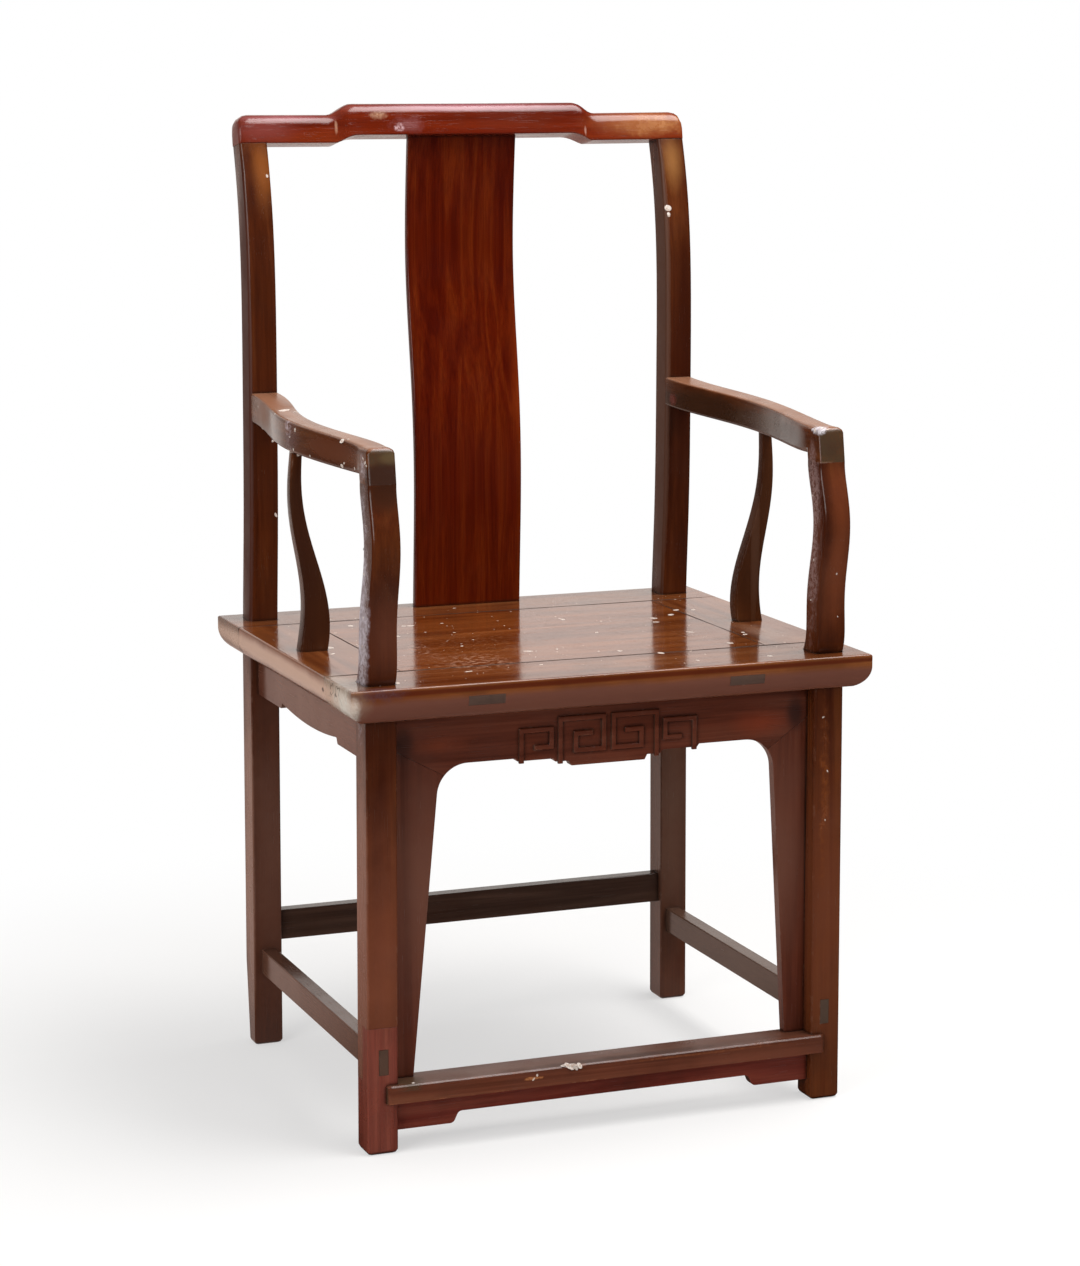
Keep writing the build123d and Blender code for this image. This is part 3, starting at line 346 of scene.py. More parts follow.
# single marks, each on one place: where (metres), how far it spreads each way, its colour and strength
marksOn = {
    "crest_wood": [
        patch((0.228, 0.209, 1.054), (0.054, 0.016, 0.016), (190, 134, 78), 0.9, core=0.0, thin=0.55,
              grainSize=60.0, spots=150.0),
        tone(0.215, 0.209, 1.056, (0.08, 0.03, 0.020), (160, 92, 52), 0.7),
        # the first line makes the crest front darker deep red towards the bottom; the next two are
        # painted highlights, lilac bands along the top front rounding of the middle and of the left end
        tone(0.0, 0.209, 1.044, (0.18, 0.03, 0.008), (98, 22, 3), 0.8, 0.3),
        tone(0.0, 0.209, 1.0745, (0.165, 0.03, 0.0055), (172, 112, 122), 0.7, 0.2),
        tone(-0.215, 0.209, 1.0635, (0.065, 0.03, 0.0045), (164, 100, 108), 0.6, 0.2),
        patch((-0.105, 0.210, 1.067), (0.013, 0.007, 0.006), (212, 172, 138), 0.7, core=0.0, thin=0.5),
        patch((-0.070, 0.209, 1.056), (0.024, 0.006, 0.011), (138, 84, 84), 0.6, core=0.0),
        patch((-0.081, 0.209, 1.053), (0.007, 0.006, 0.006), (206, 168, 170), 0.8, thin=0.1),
        # painted highlights: pale vertical strokes on the two shoulders where the raised middle of the
        # crest steps down
        patch((-0.155, 0.211, 1.054), (0.0022, 0.008, 0.010), (190, 140, 112), 0.6),
        patch((0.146, 0.211, 1.045), (0.002, 0.004, 0.008), (196, 150, 130), 0.6),
        tone(-0.240, 0.209, 1.052, (0.05, 0.03, 0.02), (128, 62, 56), 0.7),
    ],
    "splat_wood": [
        tone(0.070, 0.2, 0.80, (0.022, 0.06, 0.20), (140, 52, 12), 0.6),
        tone(-0.07, 0.2, 0.75, (0.014, 0.06, 0.36), (62, 12, 1), 0.5),
    ],
    "post_wood": [
        tone(0.252, 0.199, 1.010, (0.016, 0.014, 0.060), (142, 94, 50), 0.9),
        tone(-0.246, 0.199, 0.980, (0.016, 0.014, 0.095), (134, 74, 30), 0.9, 0.2),
        tone(0.2375, 0.19, 0.78, (0.006, 0.04, 0.34), (94, 56, 36), 0.9, 0.5, matt=0.4),
        tone(0.259, 0.18, 0.80, (0.013, 0.04, 0.17), (58, 20, 6), 0.85, 0.4),
        tone(-0.2710, 0.19, 0.76, (0.005, 0.04, 0.36), (84, 40, 26), 0.9, 0.5, matt=0.35),
        # painted reflection: the left faces of the two left legs below the seat made paler
        tone(-0.275, -0.21, 0.25, (0.006, 0.04, 0.26), (176, 126, 106), 0.85, 0.3, matt=0.1),
        tone(-0.275, 0.20, 0.25, (0.006, 0.04, 0.26), (182, 136, 116), 0.85, 0.3, matt=0.1),
        tone(-0.257, -0.21, 0.20, (0.05, 0.06, 0.22), (126, 70, 48), 0.9),
        tone(0.257, -0.21, 0.22, (0.05, 0.06, 0.22), (112, 60, 38), 0.85),
        tone(-0.25, 0.18, 0.22, (0.05, 0.06, 0.26), (112, 74, 60), 0.9),
        tone(0.25, 0.18, 0.22, (0.05, 0.06, 0.26), (104, 74, 60), 0.9),
        tone(0.25, -0.215, 0.62, (0.04, 0.04, 0.14), (112, 64, 44), 0.7),
        tone(-0.25, -0.215, 0.56, (0.04, 0.04, 0.08), (104, 62, 48), 0.7),
        tone(0.257, -0.236, 0.625, (0.02, 0.02, 0.10), (124, 62, 34), 0.8, 0.2),
        tone(-0.25, -0.234, 0.698, (0.03, 0.02, 0.026), (60, 31, 18), 0.9, 0.3),
        # painted reflection: a pale lilac strip down the left face of the front left post, above the
        # seat
        patch((-0.271, -0.211, 0.585), (0.0050, 0.028, 0.13), (200, 190, 198), 0.95, grainSize=40.0,
              thin=0.4, spots=170.0, matt=0.3),
        patch((0.2365, -0.215, 0.640), (0.0035, 0.020, 0.13), (158, 128, 124), 0.7, grainSize=60.0,
              thin=0.2, spots=210.0, matt=0.3),
        patch((0.250, -0.226, 0.35), (0.007, 0.004, 0.12), (132, 66, 22), 0.7, core=0.0, thin=0.2,
              spots=140.0),
    ],
    "arm_wood": [
        tone(-0.270, 0.110, 0.745, (0.030, 0.075, 0.035), (138, 88, 60), 0.9, matt=0.3),
        patch((-0.285, -0.025, 0.735), (0.005, 0.026, 0.022), (92, 56, 52), 0.75, thin=0.4),
        patch((-0.284, -0.012, 0.742), (0.004, 0.012, 0.014), (196, 176, 182), 0.85, thin=0.0,
              spots=160.0, core=0.1),
        patch((-0.280, -0.020, 0.722), (0.006, 0.018, 0.006), (206, 190, 190), 0.85, thin=0.0,
              spots=170.0, core=0.1),
        tone(-0.25, -0.230, 0.713, (0.04, 0.014, 0.018), (60, 31, 18), 0.95, 0.6),
        tone(-0.243, -0.230, 0.734, (0.016, 0.010, 0.009), (92, 72, 46), 0.9, 0.3),
        # painted highlight: a pale lilac band along the top rim of the left nose
        tone(-0.25, -0.230, 0.7445, (0.03, 0.012, 0.0035), (160, 128, 120), 0.8, 0.3),
        tone(0.25, -0.05, 0.722, (0.05, 0.20, 0.022), (66, 38, 24), 0.85, 0.6),
        tone(0.25, 0.10, 0.732, (0.05, 0.12, 0.022), (60, 36, 22), 0.85, 0.6),
        patch((0.25, -0.06, 0.732), (0.05, 0.10, 0.018), (96, 74, 56), 0.6, grainSize=30.0, core=0.0),
        tone(0.26, -0.01, 0.60, (0.06, 0.07, 0.13), (66, 34, 16), 0.9, 0.6),
        tone(-0.26, -0.01, 0.60, (0.06, 0.07, 0.13), (58, 30, 18), 0.9, 0.6),
        tone(-0.275, -0.14, 0.732, (0.012, 0.09, 0.015), (96, 44, 14), 0.9, 0.5, matt=0.15),
        tone(0.262, -0.01, 0.60, (0.006, 0.05, 0.14), (84, 46, 20), 0.9, 0.5, matt=0.35),
        patch((0.240, -0.220, 0.742), (0.012, 0.012, 0.006), (218, 212, 218), 0.95, ragged=2.6,
              thin=0.5, spots=150.0),
        patch((0.2372, 0.158, 0.736), (0.003, 0.012, 0.010), (116, 38, 22), 0.7, ragged=1.4, core=0.1),
        patch((-0.2695, -0.213, 0.722), (0.004, 0.014, 0.020), (176, 160, 164), 0.8, thin=0.2,
              spots=200.0),
        patch((0.2365, -0.213, 0.712), (0.003, 0.010, 0.020), (150, 122, 118), 0.6, thin=0.3),
    ],
    "panel_wood": seatSeams + seatScuffs + [
        patch((-0.08, -0.05, 0.5), (0.13, 0.15, 0.02), (190, 140, 104), 0.5, core=0.0, strokes=0.3,
              matt=0.15),
        patch((0.12, -0.02, 0.5), (0.10, 0.16, 0.02), (190, 140, 104), 0.44, core=0.0, strokes=0.3,
              matt=0.15),
        tone(-0.02, -0.10, 0.5, (0.08, 0.06, 0.02), (134, 78, 44), 0.5),
    ],
    "seat_wood": seatSeams + seatScuffs + [
        # painted light on the front edge moulding: a paler lower band as painted highlight, and a dark
        # band under the top edge as painted shadow
        tone(0.0, -0.2503, 0.474, (0.9, 0.03, 0.016), (112, 70, 58), 0.9, 0.6),
        tone(0.0, -0.2503, 0.4945, (0.9, 0.006, 0.0035), (84, 30, 14), 0.85, 0.4),
        tone(-0.29, -0.20, 0.488, (0.030, 0.070, 0.026), (170, 148, 128), 0.9, 0.2),
        patch((-0.293, 0.157, 0.492), (0.008, 0.0016, 0.010), (40, 26, 20), 0.9, core=0.6, ragged=0.5,
              matt=0.5),
        patch((-0.290, 0.161, 0.476), (0.010, 0.0018, 0.010), (40, 26, 20), 0.9, core=0.6, ragged=0.5,
              matt=0.5),
        # painted highlight: a broad pale band along the whole left edge of the seat
        tone(-0.294, 0.0, 0.484, (0.014, 0.4, 0.014), (204, 168, 146), 0.9, 0.4),
        patch((-0.292, -0.224, 0.480), (0.012, 0.055, 0.026), (222, 214, 202), 0.95, grainSize=50.0,
              core=0.1, thin=0.7, matt=0.4),
        patch((-0.292, -0.200, 0.492), (0.010, 0.040, 0.014), (84, 64, 52), 0.85, crack=60.0),
        patch((-0.294, -0.156, 0.486), (0.006, 0.0045, 0.003), (52, 34, 28), 0.9, core=0.4, ragged=0.8),
        patch((-0.262, -0.246, 0.496), (0.032, 0.010, 0.012), (92, 58, 60), 0.85, thin=0.5),
    ],
    "apron_wood": [
        tone(-0.205, -0.208, 0.28, (0.05, 0.02, 0.17), (112, 72, 58), 0.85),
        tone(0.205, -0.208, 0.28, (0.05, 0.02, 0.17), (108, 68, 54), 0.85),
        tone(0.185, -0.208, 0.425, (0.045, 0.02, 0.018), (136, 54, 26), 0.6),
        tone(-0.185, -0.208, 0.430, (0.04, 0.02, 0.014), (126, 58, 34), 0.5),
        patch((0.0, -0.213, 0.44), (0.13, 0.003, 0.05), (132, 86, 66), 0.5, core=0.0, thin=0.3),
        # painted shade: darker in the top corners beside the front legs, under the seat rail
        tone(0.224, -0.208, 0.432, (0.014, 0.02, 0.024), (58, 34, 30), 0.85, 0.2),
        tone(-0.224, -0.208, 0.432, (0.014, 0.02, 0.024), (66, 38, 32), 0.7, 0.2),
        # painted shadow: a dark line down the spandrel where it meets the right front leg
        patch((0.2388, -0.21, 0.33), (0.0026, 0.01, 0.15), (26, 14, 10), 0.9, core=0.5, ragged=0.5,
              grainSize=20.0),
        tone(-0.26, 0.0, 0.44, (0.02, 0.3, 0.06), (122, 84, 68), 0.8),
        tone(0.26, 0.0, 0.44, (0.02, 0.3, 0.06), (104, 66, 50), 0.6),
    ],
    "stretcher_wood": [
        tone(-0.255, 0.0, 0.10, (0.04, 0.5, 0.06), (112, 74, 58), 0.9),
        tone(0.255, 0.0, 0.10, (0.04, 0.5, 0.06), (96, 70, 56), 0.9),
    ],
    "footrest_wood": [
        patch((-0.225, -0.222, 0.073), (0.020, 0.020, 0.008), (70, 60, 40), 0.6),
        patch((0.10, -0.236, 0.071), (0.16, 0.004, 0.002), (182, 104, 56), 0.7, core=0.0, thin=0.4,
              ragged=0.8),
        patch((-0.09, -0.233, 0.066), (0.012, 0.004, 0.002), (196, 120, 60), 0.8, thin=0.4),
        patch((0.02, -0.226, 0.0745), (0.16, 0.010, 0.004), (64, 44, 36), 0.7, core=0.0, ragged=1.4,
              grainSize=40.0),
        tone(0.17, -0.236, 0.060, (0.12, 0.012, 0.014), (118, 66, 48), 0.7),
    ],
}

grainOf = {  # the grain runs along each piece
    "x": ("crest_rail", "seat_front_rail", "seat_rear_rail", "seat_panel", "front_apron", "rear_apron",
          "footrest", "footrest_apron", "rear_stretcher"),
    "y": ("armrest_left", "armrest_right", "seat_side_rail_left", "seat_side_rail_right",
          "seat_brace_left", "seat_brace_right", "side_apron_left", "side_apron_right",
          "side_stretcher_left", "side_stretcher_right"),
    "z": ("back_splat", "rear_post_left", "rear_post_right", "front_post_left", "front_post_right",
          "arm_strut_left", "arm_strut_right", "front_left_foot_splice",
          "front_spandrel_left", "front_spandrel_right"),
}
slotOf = {part["node"]: part["material_slot"] for part in frame["record"]["subparts"]}
woods = {}
for along, names in grainOf.items():
    for name in names:
        slot = slotOf[name]
        if (slot, along) not in woods:
            marks = marksOn.get(slot, [])
            woods[slot, along] = woodMaterial(f"{slot}_{along}", finishes[slot], along, marks)
        piece = chair[name]
        piece.data.materials.clear()
        piece.data.materials.append(woods[slot, along])
print("woods made,", len(woods))


# the sharp edges of a real board are eased a little

easing = {"weld": 1e-5, "width": 0.0005, "segments": 2, "angle": math.radians(34)}


def easeArrises(piece):
    weld = piece.modifiers.new("weld", "WELD")
    weld.merge_threshold = easing["weld"]
    bevel = piece.modifiers.new("easedArris", "BEVEL")
    bevel.width = easing["width"]
    bevel.segments = easing["segments"]
    bevel.limit_method = "ANGLE"
    bevel.angle_limit = easing["angle"]
    smooth = piece.modifiers.new("softShade", "WEIGHTED_NORMAL")
    smooth.keep_sharp = False


for piece in chair.values():
    easeArrises(piece)
print("arrises eased")


# old paint that has dripped and flaked onto the chair

paint = {
    "seed": 11, "thickness": 0.00025, "slimmest": 0.35, "fullest": 0.8,
    "ragged": 0.0009, "tornScale": 420.0, "rounds": 2,  # how finely each flake is divided
    "colour": (226, 218, 210), "shade": (196, 172, 156), "rough": 0.6,
    "patchScale": 420.0, "patches": (0.35, 0.65),
    "bumpScale": 900.0, "bumpStrength": 0.4, "bumpDepth": 0.0005,
}
chipsOn = {  # x, y, z and half length of each flake, metres
    "arm_wood": {
        "name": "arm_paint_chips",
        "nodes": ("armrest_left", "armrest_right", "arm_strut_left"),
        "at": [
            (-0.2652, 0.0608, 0.7537, 0.0070), (-0.2577, 0.0446, 0.7529, 0.0030),
            (-0.2700, 0.0560, 0.7537, 0.0050), (-0.2836, -0.0355, 0.7429, 0.0026),
            (-0.2844, -0.0197, 0.7338, 0.0016), (-0.2812, 0.0450, 0.7516, 0.0014),
            (-0.2830, -0.0120, 0.7190, 0.0030), (-0.2810, -0.0230, 0.7160, 0.0034),
            (-0.2800, -0.0420, 0.7180, 0.0018), (-0.2820, -0.0300, 0.7215, 0.0018),
            (-0.2694, -0.1528, 0.7435, 0.0042), (-0.2640, -0.1560, 0.7450, 0.0020),
            (-0.2799, -0.0755, 0.7197, 0.0020), (-0.2700, -0.1540, 0.7179, 0.0032),
            (-0.2690, -0.1600, 0.7215, 0.0016), (-0.2673, -0.2213, 0.7287, 0.0030),
            (-0.2680, -0.2150, 0.7320, 0.0022), (-0.2650, -0.2250, 0.7260, 0.0018),
            (-0.2815, -0.0129, 0.7169, 0.0020), (-0.2757, -0.0191, 0.7141, 0.0016),
            (-0.2740, 0.1500, 0.7480, 0.0016), (-0.2700, 0.1350, 0.7250, 0.0022),
            (-0.2760, 0.1000, 0.7180, 0.0018), (-0.2720, -0.1880, 0.7180, 0.0018),
            (-0.2500, -0.2280, 0.7040, 0.0012), (0.2378, -0.2167, 0.7405, 0.0034),
            (0.2433, -0.2223, 0.7430, 0.0030), (0.2480, -0.2250, 0.7410, 0.0018),
        ]},
    "post_wood": {
        "name": "post_paint_chips",
        "nodes": ("rear_post_left", "rear_post_right", "front_post_left", "front_post_right"),
        "at": [
            (-0.2439, 0.1792, 0.7060, 0.0020), (-0.2410, 0.1815, 0.6215, 0.0030),
            (-0.2415, 0.1957, 1.0006, 0.0020), (0.2415, 0.1868, 0.9574, 0.0046),
            (0.2420, 0.1850, 0.9500, 0.0030), (-0.2695, -0.2150, 0.6400, 0.0018),
            (-0.2700, -0.2180, 0.6150, 0.0022), (-0.2704, -0.2180, 0.5700, 0.0020),
            (-0.2706, -0.2150, 0.5400, 0.0016), (-0.2600, -0.2240, 0.6650, 0.0010),
            (-0.2450, -0.2250, 0.6420, 0.0012), (0.2376, -0.2190, 0.6010, 0.0016),
            (0.2376, -0.2136, 0.5567, 0.0016), (0.2372, -0.2150, 0.6700, 0.0014),
            (0.2560, -0.2270, 0.5900, 0.0012), (0.2600, -0.2280, 0.5400, 0.0010),
            (0.2480, -0.2269, 0.4300, 0.0014), (0.2518, -0.2269, 0.3158, 0.0012),
            (0.2540, -0.2269, 0.3700, 0.0014),
        ]},
    "footrest_wood": {
        "name": "footrest_paint_chips",
        "nodes": ("footrest",),
        "at": [
            (-0.0540, -0.2300, 0.0752, 0.0052), (-0.0490, -0.2335, 0.0752, 0.0060),
            (-0.0430, -0.2320, 0.0752, 0.0056), (-0.0460, -0.2352, 0.0735, 0.0044),
            (-0.0375, -0.2345, 0.0752, 0.0040), (-0.0410, -0.2362, 0.0715, 0.0026),
            (-0.2233, -0.2283, 0.0750, 0.0026), (-0.0900, -0.2335, 0.0650, 0.0022),
            (-0.0860, -0.2335, 0.0690, 0.0016),
        ]},
}
dust = {  # small flecks scattered over the seat, and a few larger ones that lie where they are told
    "nodes": ("seat_panel", "seat_front_rail", "seat_rear_rail",
              "seat_side_rail_left", "seat_side_rail_right"),
    "count": 200, "seed": 5, "across": 0.26, "from": -0.235, "to": 0.19, "level": 0.98,
    "small": 0.0008, "large": 0.0062, "rarity": 6,  # the higher the rarity, the fewer large ones
    "thickness": 0.00009, "ragged": 0.0004,
    "placed": ((0.2106, 0.0846, 0.0050), (0.1666, -0.0546, 0.0052), (0.1794, -0.1334, 0.0046),
               (0.1570, 0.0187, 0.0040), (0.0851, -0.1613, 0.0048)),  # x, y and half length
}


def paintMaterial():
    mat = bpy.data.materials.new("oldPaint")
    mat.use_nodes = True
    tree = mat.node_tree
    tree.nodes.clear()
    place = addNode(tree, "TexCoord").outputs["Object"]
    patches = between(tree, cloud(tree, place, paint["patchScale"], roughness=0.6), *paint["patches"])
    colour = blendColour(tree, patches, seen(*paint["colour"]), seen(*paint["shade"]))
    bump = addNode(tree, "Bump", {"Height": cloud(tree, place, paint["bumpScale"]),
                                  "Strength": paint["bumpStrength"], "Distance": paint["bumpDepth"]})
    shader = addNode(tree, "BsdfPrincipled", {"Base Color": colour, "Roughness": paint["rough"],
                                              "Normal": bump.outputs["Normal"]})
    addNode(tree, "OutputMaterial", {"Surface": shader.outputs["BSDF"]})
    return mat


def chipTree():  # a ragged flake on every point, laid flat on the wood under it
    tree = bpy.data.node_groups.new("paintChips", "GeometryNodeTree")
    sockets = tree.interface
    sockets.new_socket("Geometry", in_out="INPUT", socket_type="NodeSocketGeometry")
    for name, kind in (("thickness", "Float"), ("slimmest", "Float"), ("fullest", "Float"),
                       ("ragged", "Float"), ("seed", "Int")):
        socket = sockets.new_socket(name, in_out="INPUT", socket_type="NodeSocket" + kind)
        socket.default_value = paint[name]
    sockets.new_socket("finish", in_out="INPUT", socket_type="NodeSocketMaterial")
    sockets.new_socket("Geometry", in_out="OUTPUT", socket_type="NodeSocketGeometry")
    given = putNode(tree, "NodeGroupInput").outputs
    facing = putNode(tree, "GeometryNodeInputNamedAttribute", {"Name": "facing"},
                     data_type="FLOAT_VECTOR")
    reach = putNode(tree, "GeometryNodeInputNamedAttribute", {"Name": "reach"}, data_type="FLOAT")
    flake = putNode(tree, "GeometryNodeMeshIcoSphere", {"Radius": 1.0, "Subdivisions": paint["rounds"]})
    lying = putNode(tree, "FunctionNodeAlignRotationToVector",
                    {"Vector": facing.outputs["Attribute"]}, axis="Z")
    turn = putNode(tree, "FunctionNodeRandomValue", {"Seed": given["seed"]}, data_type="FLOAT")
    feed(tree, turn.inputs[2], -math.pi)  # inputs 2 and 3 are the least and the most of a random number
    feed(tree, turn.inputs[3], math.pi)
    angle = putNode(tree, "ShaderNodeCombineXYZ", {"Z": turn.outputs[1]})
    spin = putNode(tree, "FunctionNodeEulerToRotation", {"Euler": angle.outputs[0]})
    turned = putNode(tree, "FunctionNodeRotateRotation",
                     {"Rotation": lying.outputs[0], "Rotate By": spin.outputs[0]},
                     rotation_space="LOCAL")
    index = putNode(tree, "GeometryNodeInputIndex").outputs[0]
    slim = putNode(tree, "FunctionNodeRandomValue", {"Seed": given["seed"], "ID": index},
                   data_type="FLOAT")
    feed(tree, slim.inputs[2], given["slimmest"])
    feed(tree, slim.inputs[3], given["fullest"])
    width = putNode(tree, "ShaderNodeMath", operation="MULTIPLY")
    feed(tree, width.inputs[0], reach.outputs["Attribute"])
    feed(tree, width.inputs[1], slim.outputs[1])
    size = putNode(tree, "ShaderNodeCombineXYZ",
                   {"X": reach.outputs["Attribute"], "Y": width.outputs[0], "Z": given["thickness"]})
    laid = putNode(tree, "GeometryNodeInstanceOnPoints",
                   {"Points": given["Geometry"], "Instance": flake.outputs["Mesh"],
                    "Rotation": turned.outputs[0], "Scale": size.outputs[0]})
    whole = putNode(tree, "GeometryNodeRealizeInstances", {"Geometry": laid.outputs[0]})
    torn = putNode(tree, "ShaderNodeTexNoise", {"Scale": paint["tornScale"], "Detail": 2.0})
    centred = putNode(tree, "ShaderNodeVectorMath", operation="SUBTRACT")
    feed(tree, centred.inputs[0], torn.outputs["Color"])
    feed(tree, centred.inputs[1], (0.5, 0.5, 0.5))
    push = putNode(tree, "ShaderNodeVectorMath", {"Scale": given["ragged"]}, operation="SCALE")
    feed(tree, push.inputs[0], centred.outputs[0])
    ragged = putNode(tree, "GeometryNodeSetPosition",
                     {"Geometry": whole.outputs[0], "Offset": push.outputs[0]})
    painted = putNode(tree, "GeometryNodeSetMaterial",
                      {"Geometry": ragged.outputs[0], "Material": given["finish"]})
    tree.links.new(painted.outputs[0], putNode(tree, "NodeGroupOutput").inputs[0])
    return tree


def surfaceOf(names):
    corners, faces = [], []
    for name in names:
        mesh = chair[name].data
        first = len(corners)
        corners += [corner.co.copy() for corner in mesh.vertices]
        faces += [[first + corner for corner in face.vertices] for face in mesh.polygons]
    return BVHTree.FromPolygons(corners, faces)


def layChips(name, spots, tree, inputs):
    mesh = bpy.data.meshes.new(name)
    mesh.from_pydata([spot["at"] for spot in spots], [], [])
    facing = mesh.attributes.new("facing", "FLOAT_VECTOR", "POINT")
    facing.data.foreach_set("vector", [number for spot in spots for number in spot["facing"]])
    reach = mesh.attributes.new("reach", "FLOAT", "POINT")
    reach.data.foreach_set("value", [spot["reach"] for spot in spots])
    piece = bpy.data.objects.new(name, mesh)
    bpy.context.scene.collection.objects.link(piece)
    grown = piece.modifiers.new("paintChips", "NODES")
    grown.node_group = tree
    for item in tree.interface.items_tree:
        if item.in_out == "INPUT" and item.name in inputs:
            grown[item.identifier] = inputs[item.name]
    plain = bpy.data.meshes.new_from_object(piece.evaluated_get(bpy.context.evaluated_depsgraph_get()))
    piece.modifiers.remove(grown)
    piece.data = plain
    plain.name = name
    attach(piece, "root")


flakes, oldPaint = chipTree(), paintMaterial()
for slot, chips in chipsOn.items():
    skin = surfaceOf(chips["nodes"])
    spots = []
    for x, y, z, reach in chips["at"]:
        point, normal = skin.find_nearest(Vector((x, y, z)))[:2]
        spots.append({"at": point, "facing": normal, "reach": reach})
    layChips(chips["name"], spots, flakes, {"finish": oldPaint})

seatSkin = surfaceOf(dust["nodes"])
chance = random.Random(dust["seed"])
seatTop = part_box("seat_panel")[1][2]
spots = [{"at": (x, y, seatTop), "facing": axes["z"], "reach": reach} for x, y, reach in dust["placed"]]
while len(spots) < dust["count"]:
    x = chance.uniform(-dust["across"], dust["across"])
    y = chance.uniform(dust["from"], dust["to"])
    point, normal = seatSkin.find_nearest(Vector((x, y, seatTop)))[:2]
    if normal.z > dust["level"]:
        reach = dust["small"] + (dust["large"] - dust["small"]) * chance.random() ** dust["rarity"]
        spots.append({"at": point, "facing": normal, "reach": reach})
layChips("seat_paint_chips", spots, flakes,
         {"finish": oldPaint, "thickness": dust["thickness"], "ragged": dust["ragged"]})
print("paint chips laid")


# floor, light and camera

studio = {
    "floorSize": 6.0, "floorColour": (214, 212, 210), "floorGlow": 0.52, "floorShare": 0.62,
    "clear": (0.55, 1.15),  # metres from the chair's middle between which the floor turns plain white
    "roomLight": 0.42, "roomMirror": 0.02,  # brightness all round, and what gloss sees in front
    "floorBack": (-0.2, 0.3), "floorMirror": 0.6,  # to gloss the floor is bright only behind the chair
    "floorWide": 0.27, "floorSpread": 2.0,  # and further back beside it
    "back": (0.78, 0.90),  # how far round the bright backdrop reaches, as a direction
    "left": (-0.42, -0.15), "leftLow": 0.1,  # towards the left the backdrop gets dimmer and warmer
    "overhead": (0.55, 0.9), "ceiling": 0.5,  # a soft bright ceiling for the gloss
    "plainTint": (1.0, 1.0, 1.0, 1.0), "roomTint": (1.0, 0.93, 0.88, 1.0),
    "floorTint": (1.0, 0.74, 0.65, 1.0),
}


def makeFloor():
    half = studio["floorSize"] / 2
    mesh = bpy.data.meshes.new("studioFloor")
    corners = [(-half, -half, 0), (half, -half, 0), (half, half, 0), (-half, half, 0)]
    mesh.from_pydata(corners, [], [(0, 1, 2, 3)])
    floor = bpy.data.objects.new("studioFloor", mesh)
    bpy.context.scene.collection.objects.link(floor)
    mat = bpy.data.materials.new("floorPaper")
    mat.use_nodes = True
    tree = mat.node_tree
    tree.nodes.clear()
    path = addNode(tree, "LightPath")
    where = addNode(tree, "TexCoord").outputs["Object"]
    # what the camera sees: paper with the chair's shadow, turning plain white further off
    dim = [shade * studio["floorShare"] for shade in seen(*studio["floorColour"])[:3]] + [1.0]
    dimPaper = addNode(tree, "BsdfDiffuse", {"Color": dim})
    glow = addNode(tree, "Emission", {"Strength": studio["floorGlow"]})
    lit = addNode(tree, "AddShader")
    tree.links.new(dimPaper.outputs[0], lit.inputs[0])
    tree.links.new(glow.outputs[0], lit.inputs[1])
    white = addNode(tree, "Emission", {"Strength": 1.0})
    far = vectors(tree, "LENGTH", where, output="Value")
    shown = addNode(tree, "MixShader", {"Fac": between(tree, far, *studio["clear"])})
    tree.links.new(lit.outputs[0], shown.inputs[1])
    tree.links.new(white.outputs[0], shown.inputs[2])
    # what the lacquer mirrors: white behind the chair, dark in front of it
    split = addNode(tree, "SeparateXYZ", {"Vector": where})
    aside = sums(tree, "SUBTRACT", sums(tree, "ABSOLUTE", split.outputs["X"]), studio["floorWide"])
    aside = times(tree, sums(tree, "MAXIMUM", aside, 0.0), studio["floorSpread"])
    depth = sums(tree, "SUBTRACT", split.outputs["Y"], aside)
    level = between(tree, depth, *studio["floorBack"], studio["roomMirror"], studio["floorMirror"])
    mirrored = addNode(tree, "Emission", {"Strength": level, "Color": studio["floorTint"]})
    gloss = sums(tree, "MAXIMUM", path.outputs["Is Glossy Ray"], path.outputs["Is Transmission Ray"])
    paper = addNode(tree, "BsdfDiffuse", {"Color": seen(*studio["floorColour"])})
    unseen = addNode(tree, "MixShader", {"Fac": gloss})
    tree.links.new(paper.outputs[0], unseen.inputs[1])
    tree.links.new(mirrored.outputs[0], unseen.inputs[2])
    both = addNode(tree, "MixShader", {"Fac": path.outputs["Is Camera Ray"]})
    tree.links.new(unseen.outputs[0], both.inputs[1])
    tree.links.new(shown.outputs[0], both.inputs[2])
    addNode(tree, "OutputMaterial", {"Surface": both.outputs[0]})
    mesh.materials.append(mat)


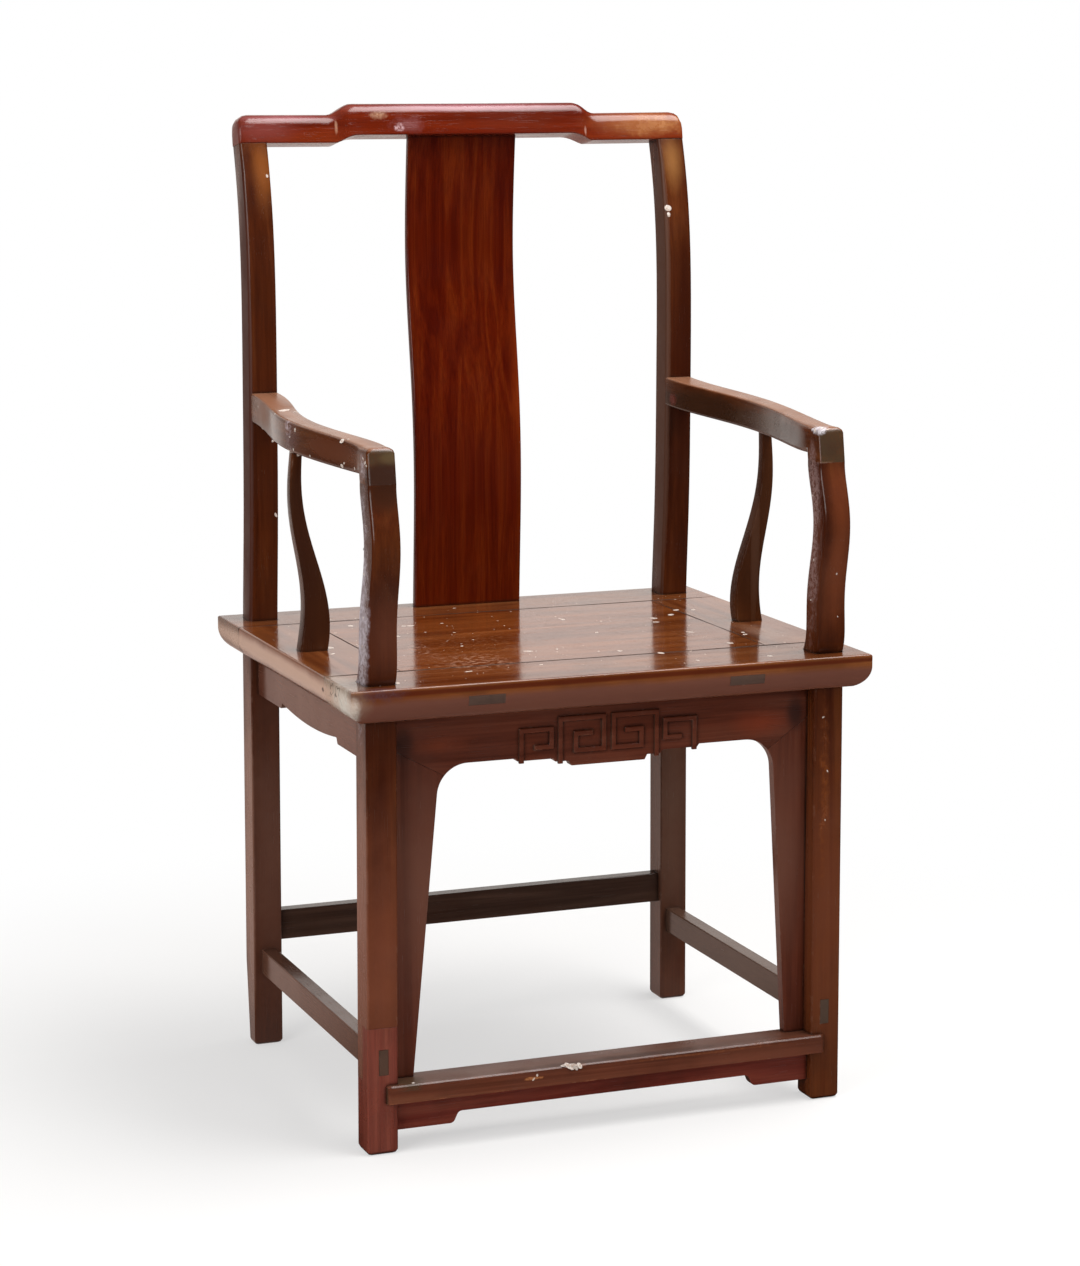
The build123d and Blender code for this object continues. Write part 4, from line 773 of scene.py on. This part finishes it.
def makeRoom():
    world = bpy.data.worlds.new("studioRoom")
    bpy.context.scene.world = world
    world.use_nodes = True
    tree = world.node_tree
    tree.nodes.clear()
    path = addNode(tree, "LightPath")
    mirror = sums(tree, "MAXIMUM", path.outputs["Is Glossy Ray"], path.outputs["Is Transmission Ray"])
    toward = addNode(tree, "SeparateXYZ", {"Vector": addNode(tree, "TexCoord").outputs["Generated"]})
    backdrop = between(tree, toward.outputs["Y"], *studio["back"], studio["roomMirror"])
    side = toward.outputs["X"]
    backdrop = times(tree, backdrop, between(tree, side, *studio["left"], studio["leftLow"]))
    ceiling = between(tree, toward.outputs["Z"], *studio["overhead"], 0.0, studio["ceiling"])
    backdrop = sums(tree, "MAXIMUM", backdrop, ceiling)
    level = addNode(tree, "Mix", data_type="FLOAT")
    feed(tree, level.inputs[0], mirror)
    feed(tree, level.inputs[2], studio["roomLight"])
    feed(tree, level.inputs[3], backdrop)
    strength = sums(tree, "MAXIMUM", level.outputs[0], path.outputs["Is Camera Ray"])
    warmth = between(tree, side, *reversed(studio["left"]))
    tint = blendColour(tree, warmth, studio["roomTint"], studio["floorTint"])
    tint = blendColour(tree, mirror, studio["plainTint"], tint)
    glow = addNode(tree, "Background", {"Color": tint, "Strength": strength})
    addNode(tree, "OutputWorld", {"Surface": glow.outputs[0]})


lamps = {
    "overheadSoftbox": {"at": (0.9, -0.5, 2.9), "size": (2.0, 1.6), "power": 85.0},
    "sideSoftbox": {"at": (-2.6, -1.6, 1.7), "size": (1.6, 1.6), "power": 38.0},
}
lampAim = (0.0, 0.0, 0.6)


def makeLamp(name, lamp):
    data = bpy.data.lights.new(name, "AREA")
    data.shape = "RECTANGLE"
    data.size, data.size_y = lamp["size"]
    data.energy = lamp["power"]
    light = bpy.data.objects.new(name, data)
    light.location = lamp["at"]
    toward = Vector(lampAim) - Vector(lamp["at"])
    light.rotation_euler = toward.to_track_quat("-Z", "Y").to_euler()
    bpy.context.scene.collection.objects.link(light)


makeFloor()
makeRoom()
for name, lamp in lamps.items():
    makeLamp(name, lamp)

shot = {
    "at": (-1.28798, -3.32075, 1.13505), "turn": 21.325, "down": 10.10,  # metres and degrees
    "focal": 3254.32, "tall": 1266.0,  # focal length and height of the frame, in the frame's own points
    "sensor": 36.0, "near": 0.1, "far": 60.0,
}


def makeCamera():
    data = bpy.data.cameras.new("shotCamera")
    data.sensor_width = shot["sensor"]
    data.lens = shot["sensor"] * shot["focal"] / shot["tall"]
    data.clip_start, data.clip_end = shot["near"], shot["far"]
    camera = bpy.data.objects.new("shotCamera", data)
    camera.location = shot["at"]
    camera.rotation_euler = (math.radians(90 - shot["down"]), 0.0, -math.radians(shot["turn"]))
    bpy.context.scene.collection.objects.link(camera)
    bpy.context.scene.camera = camera


makeCamera()
bpy.context.scene.view_settings.view_transform = "Standard"
print("floor, light and camera placed")
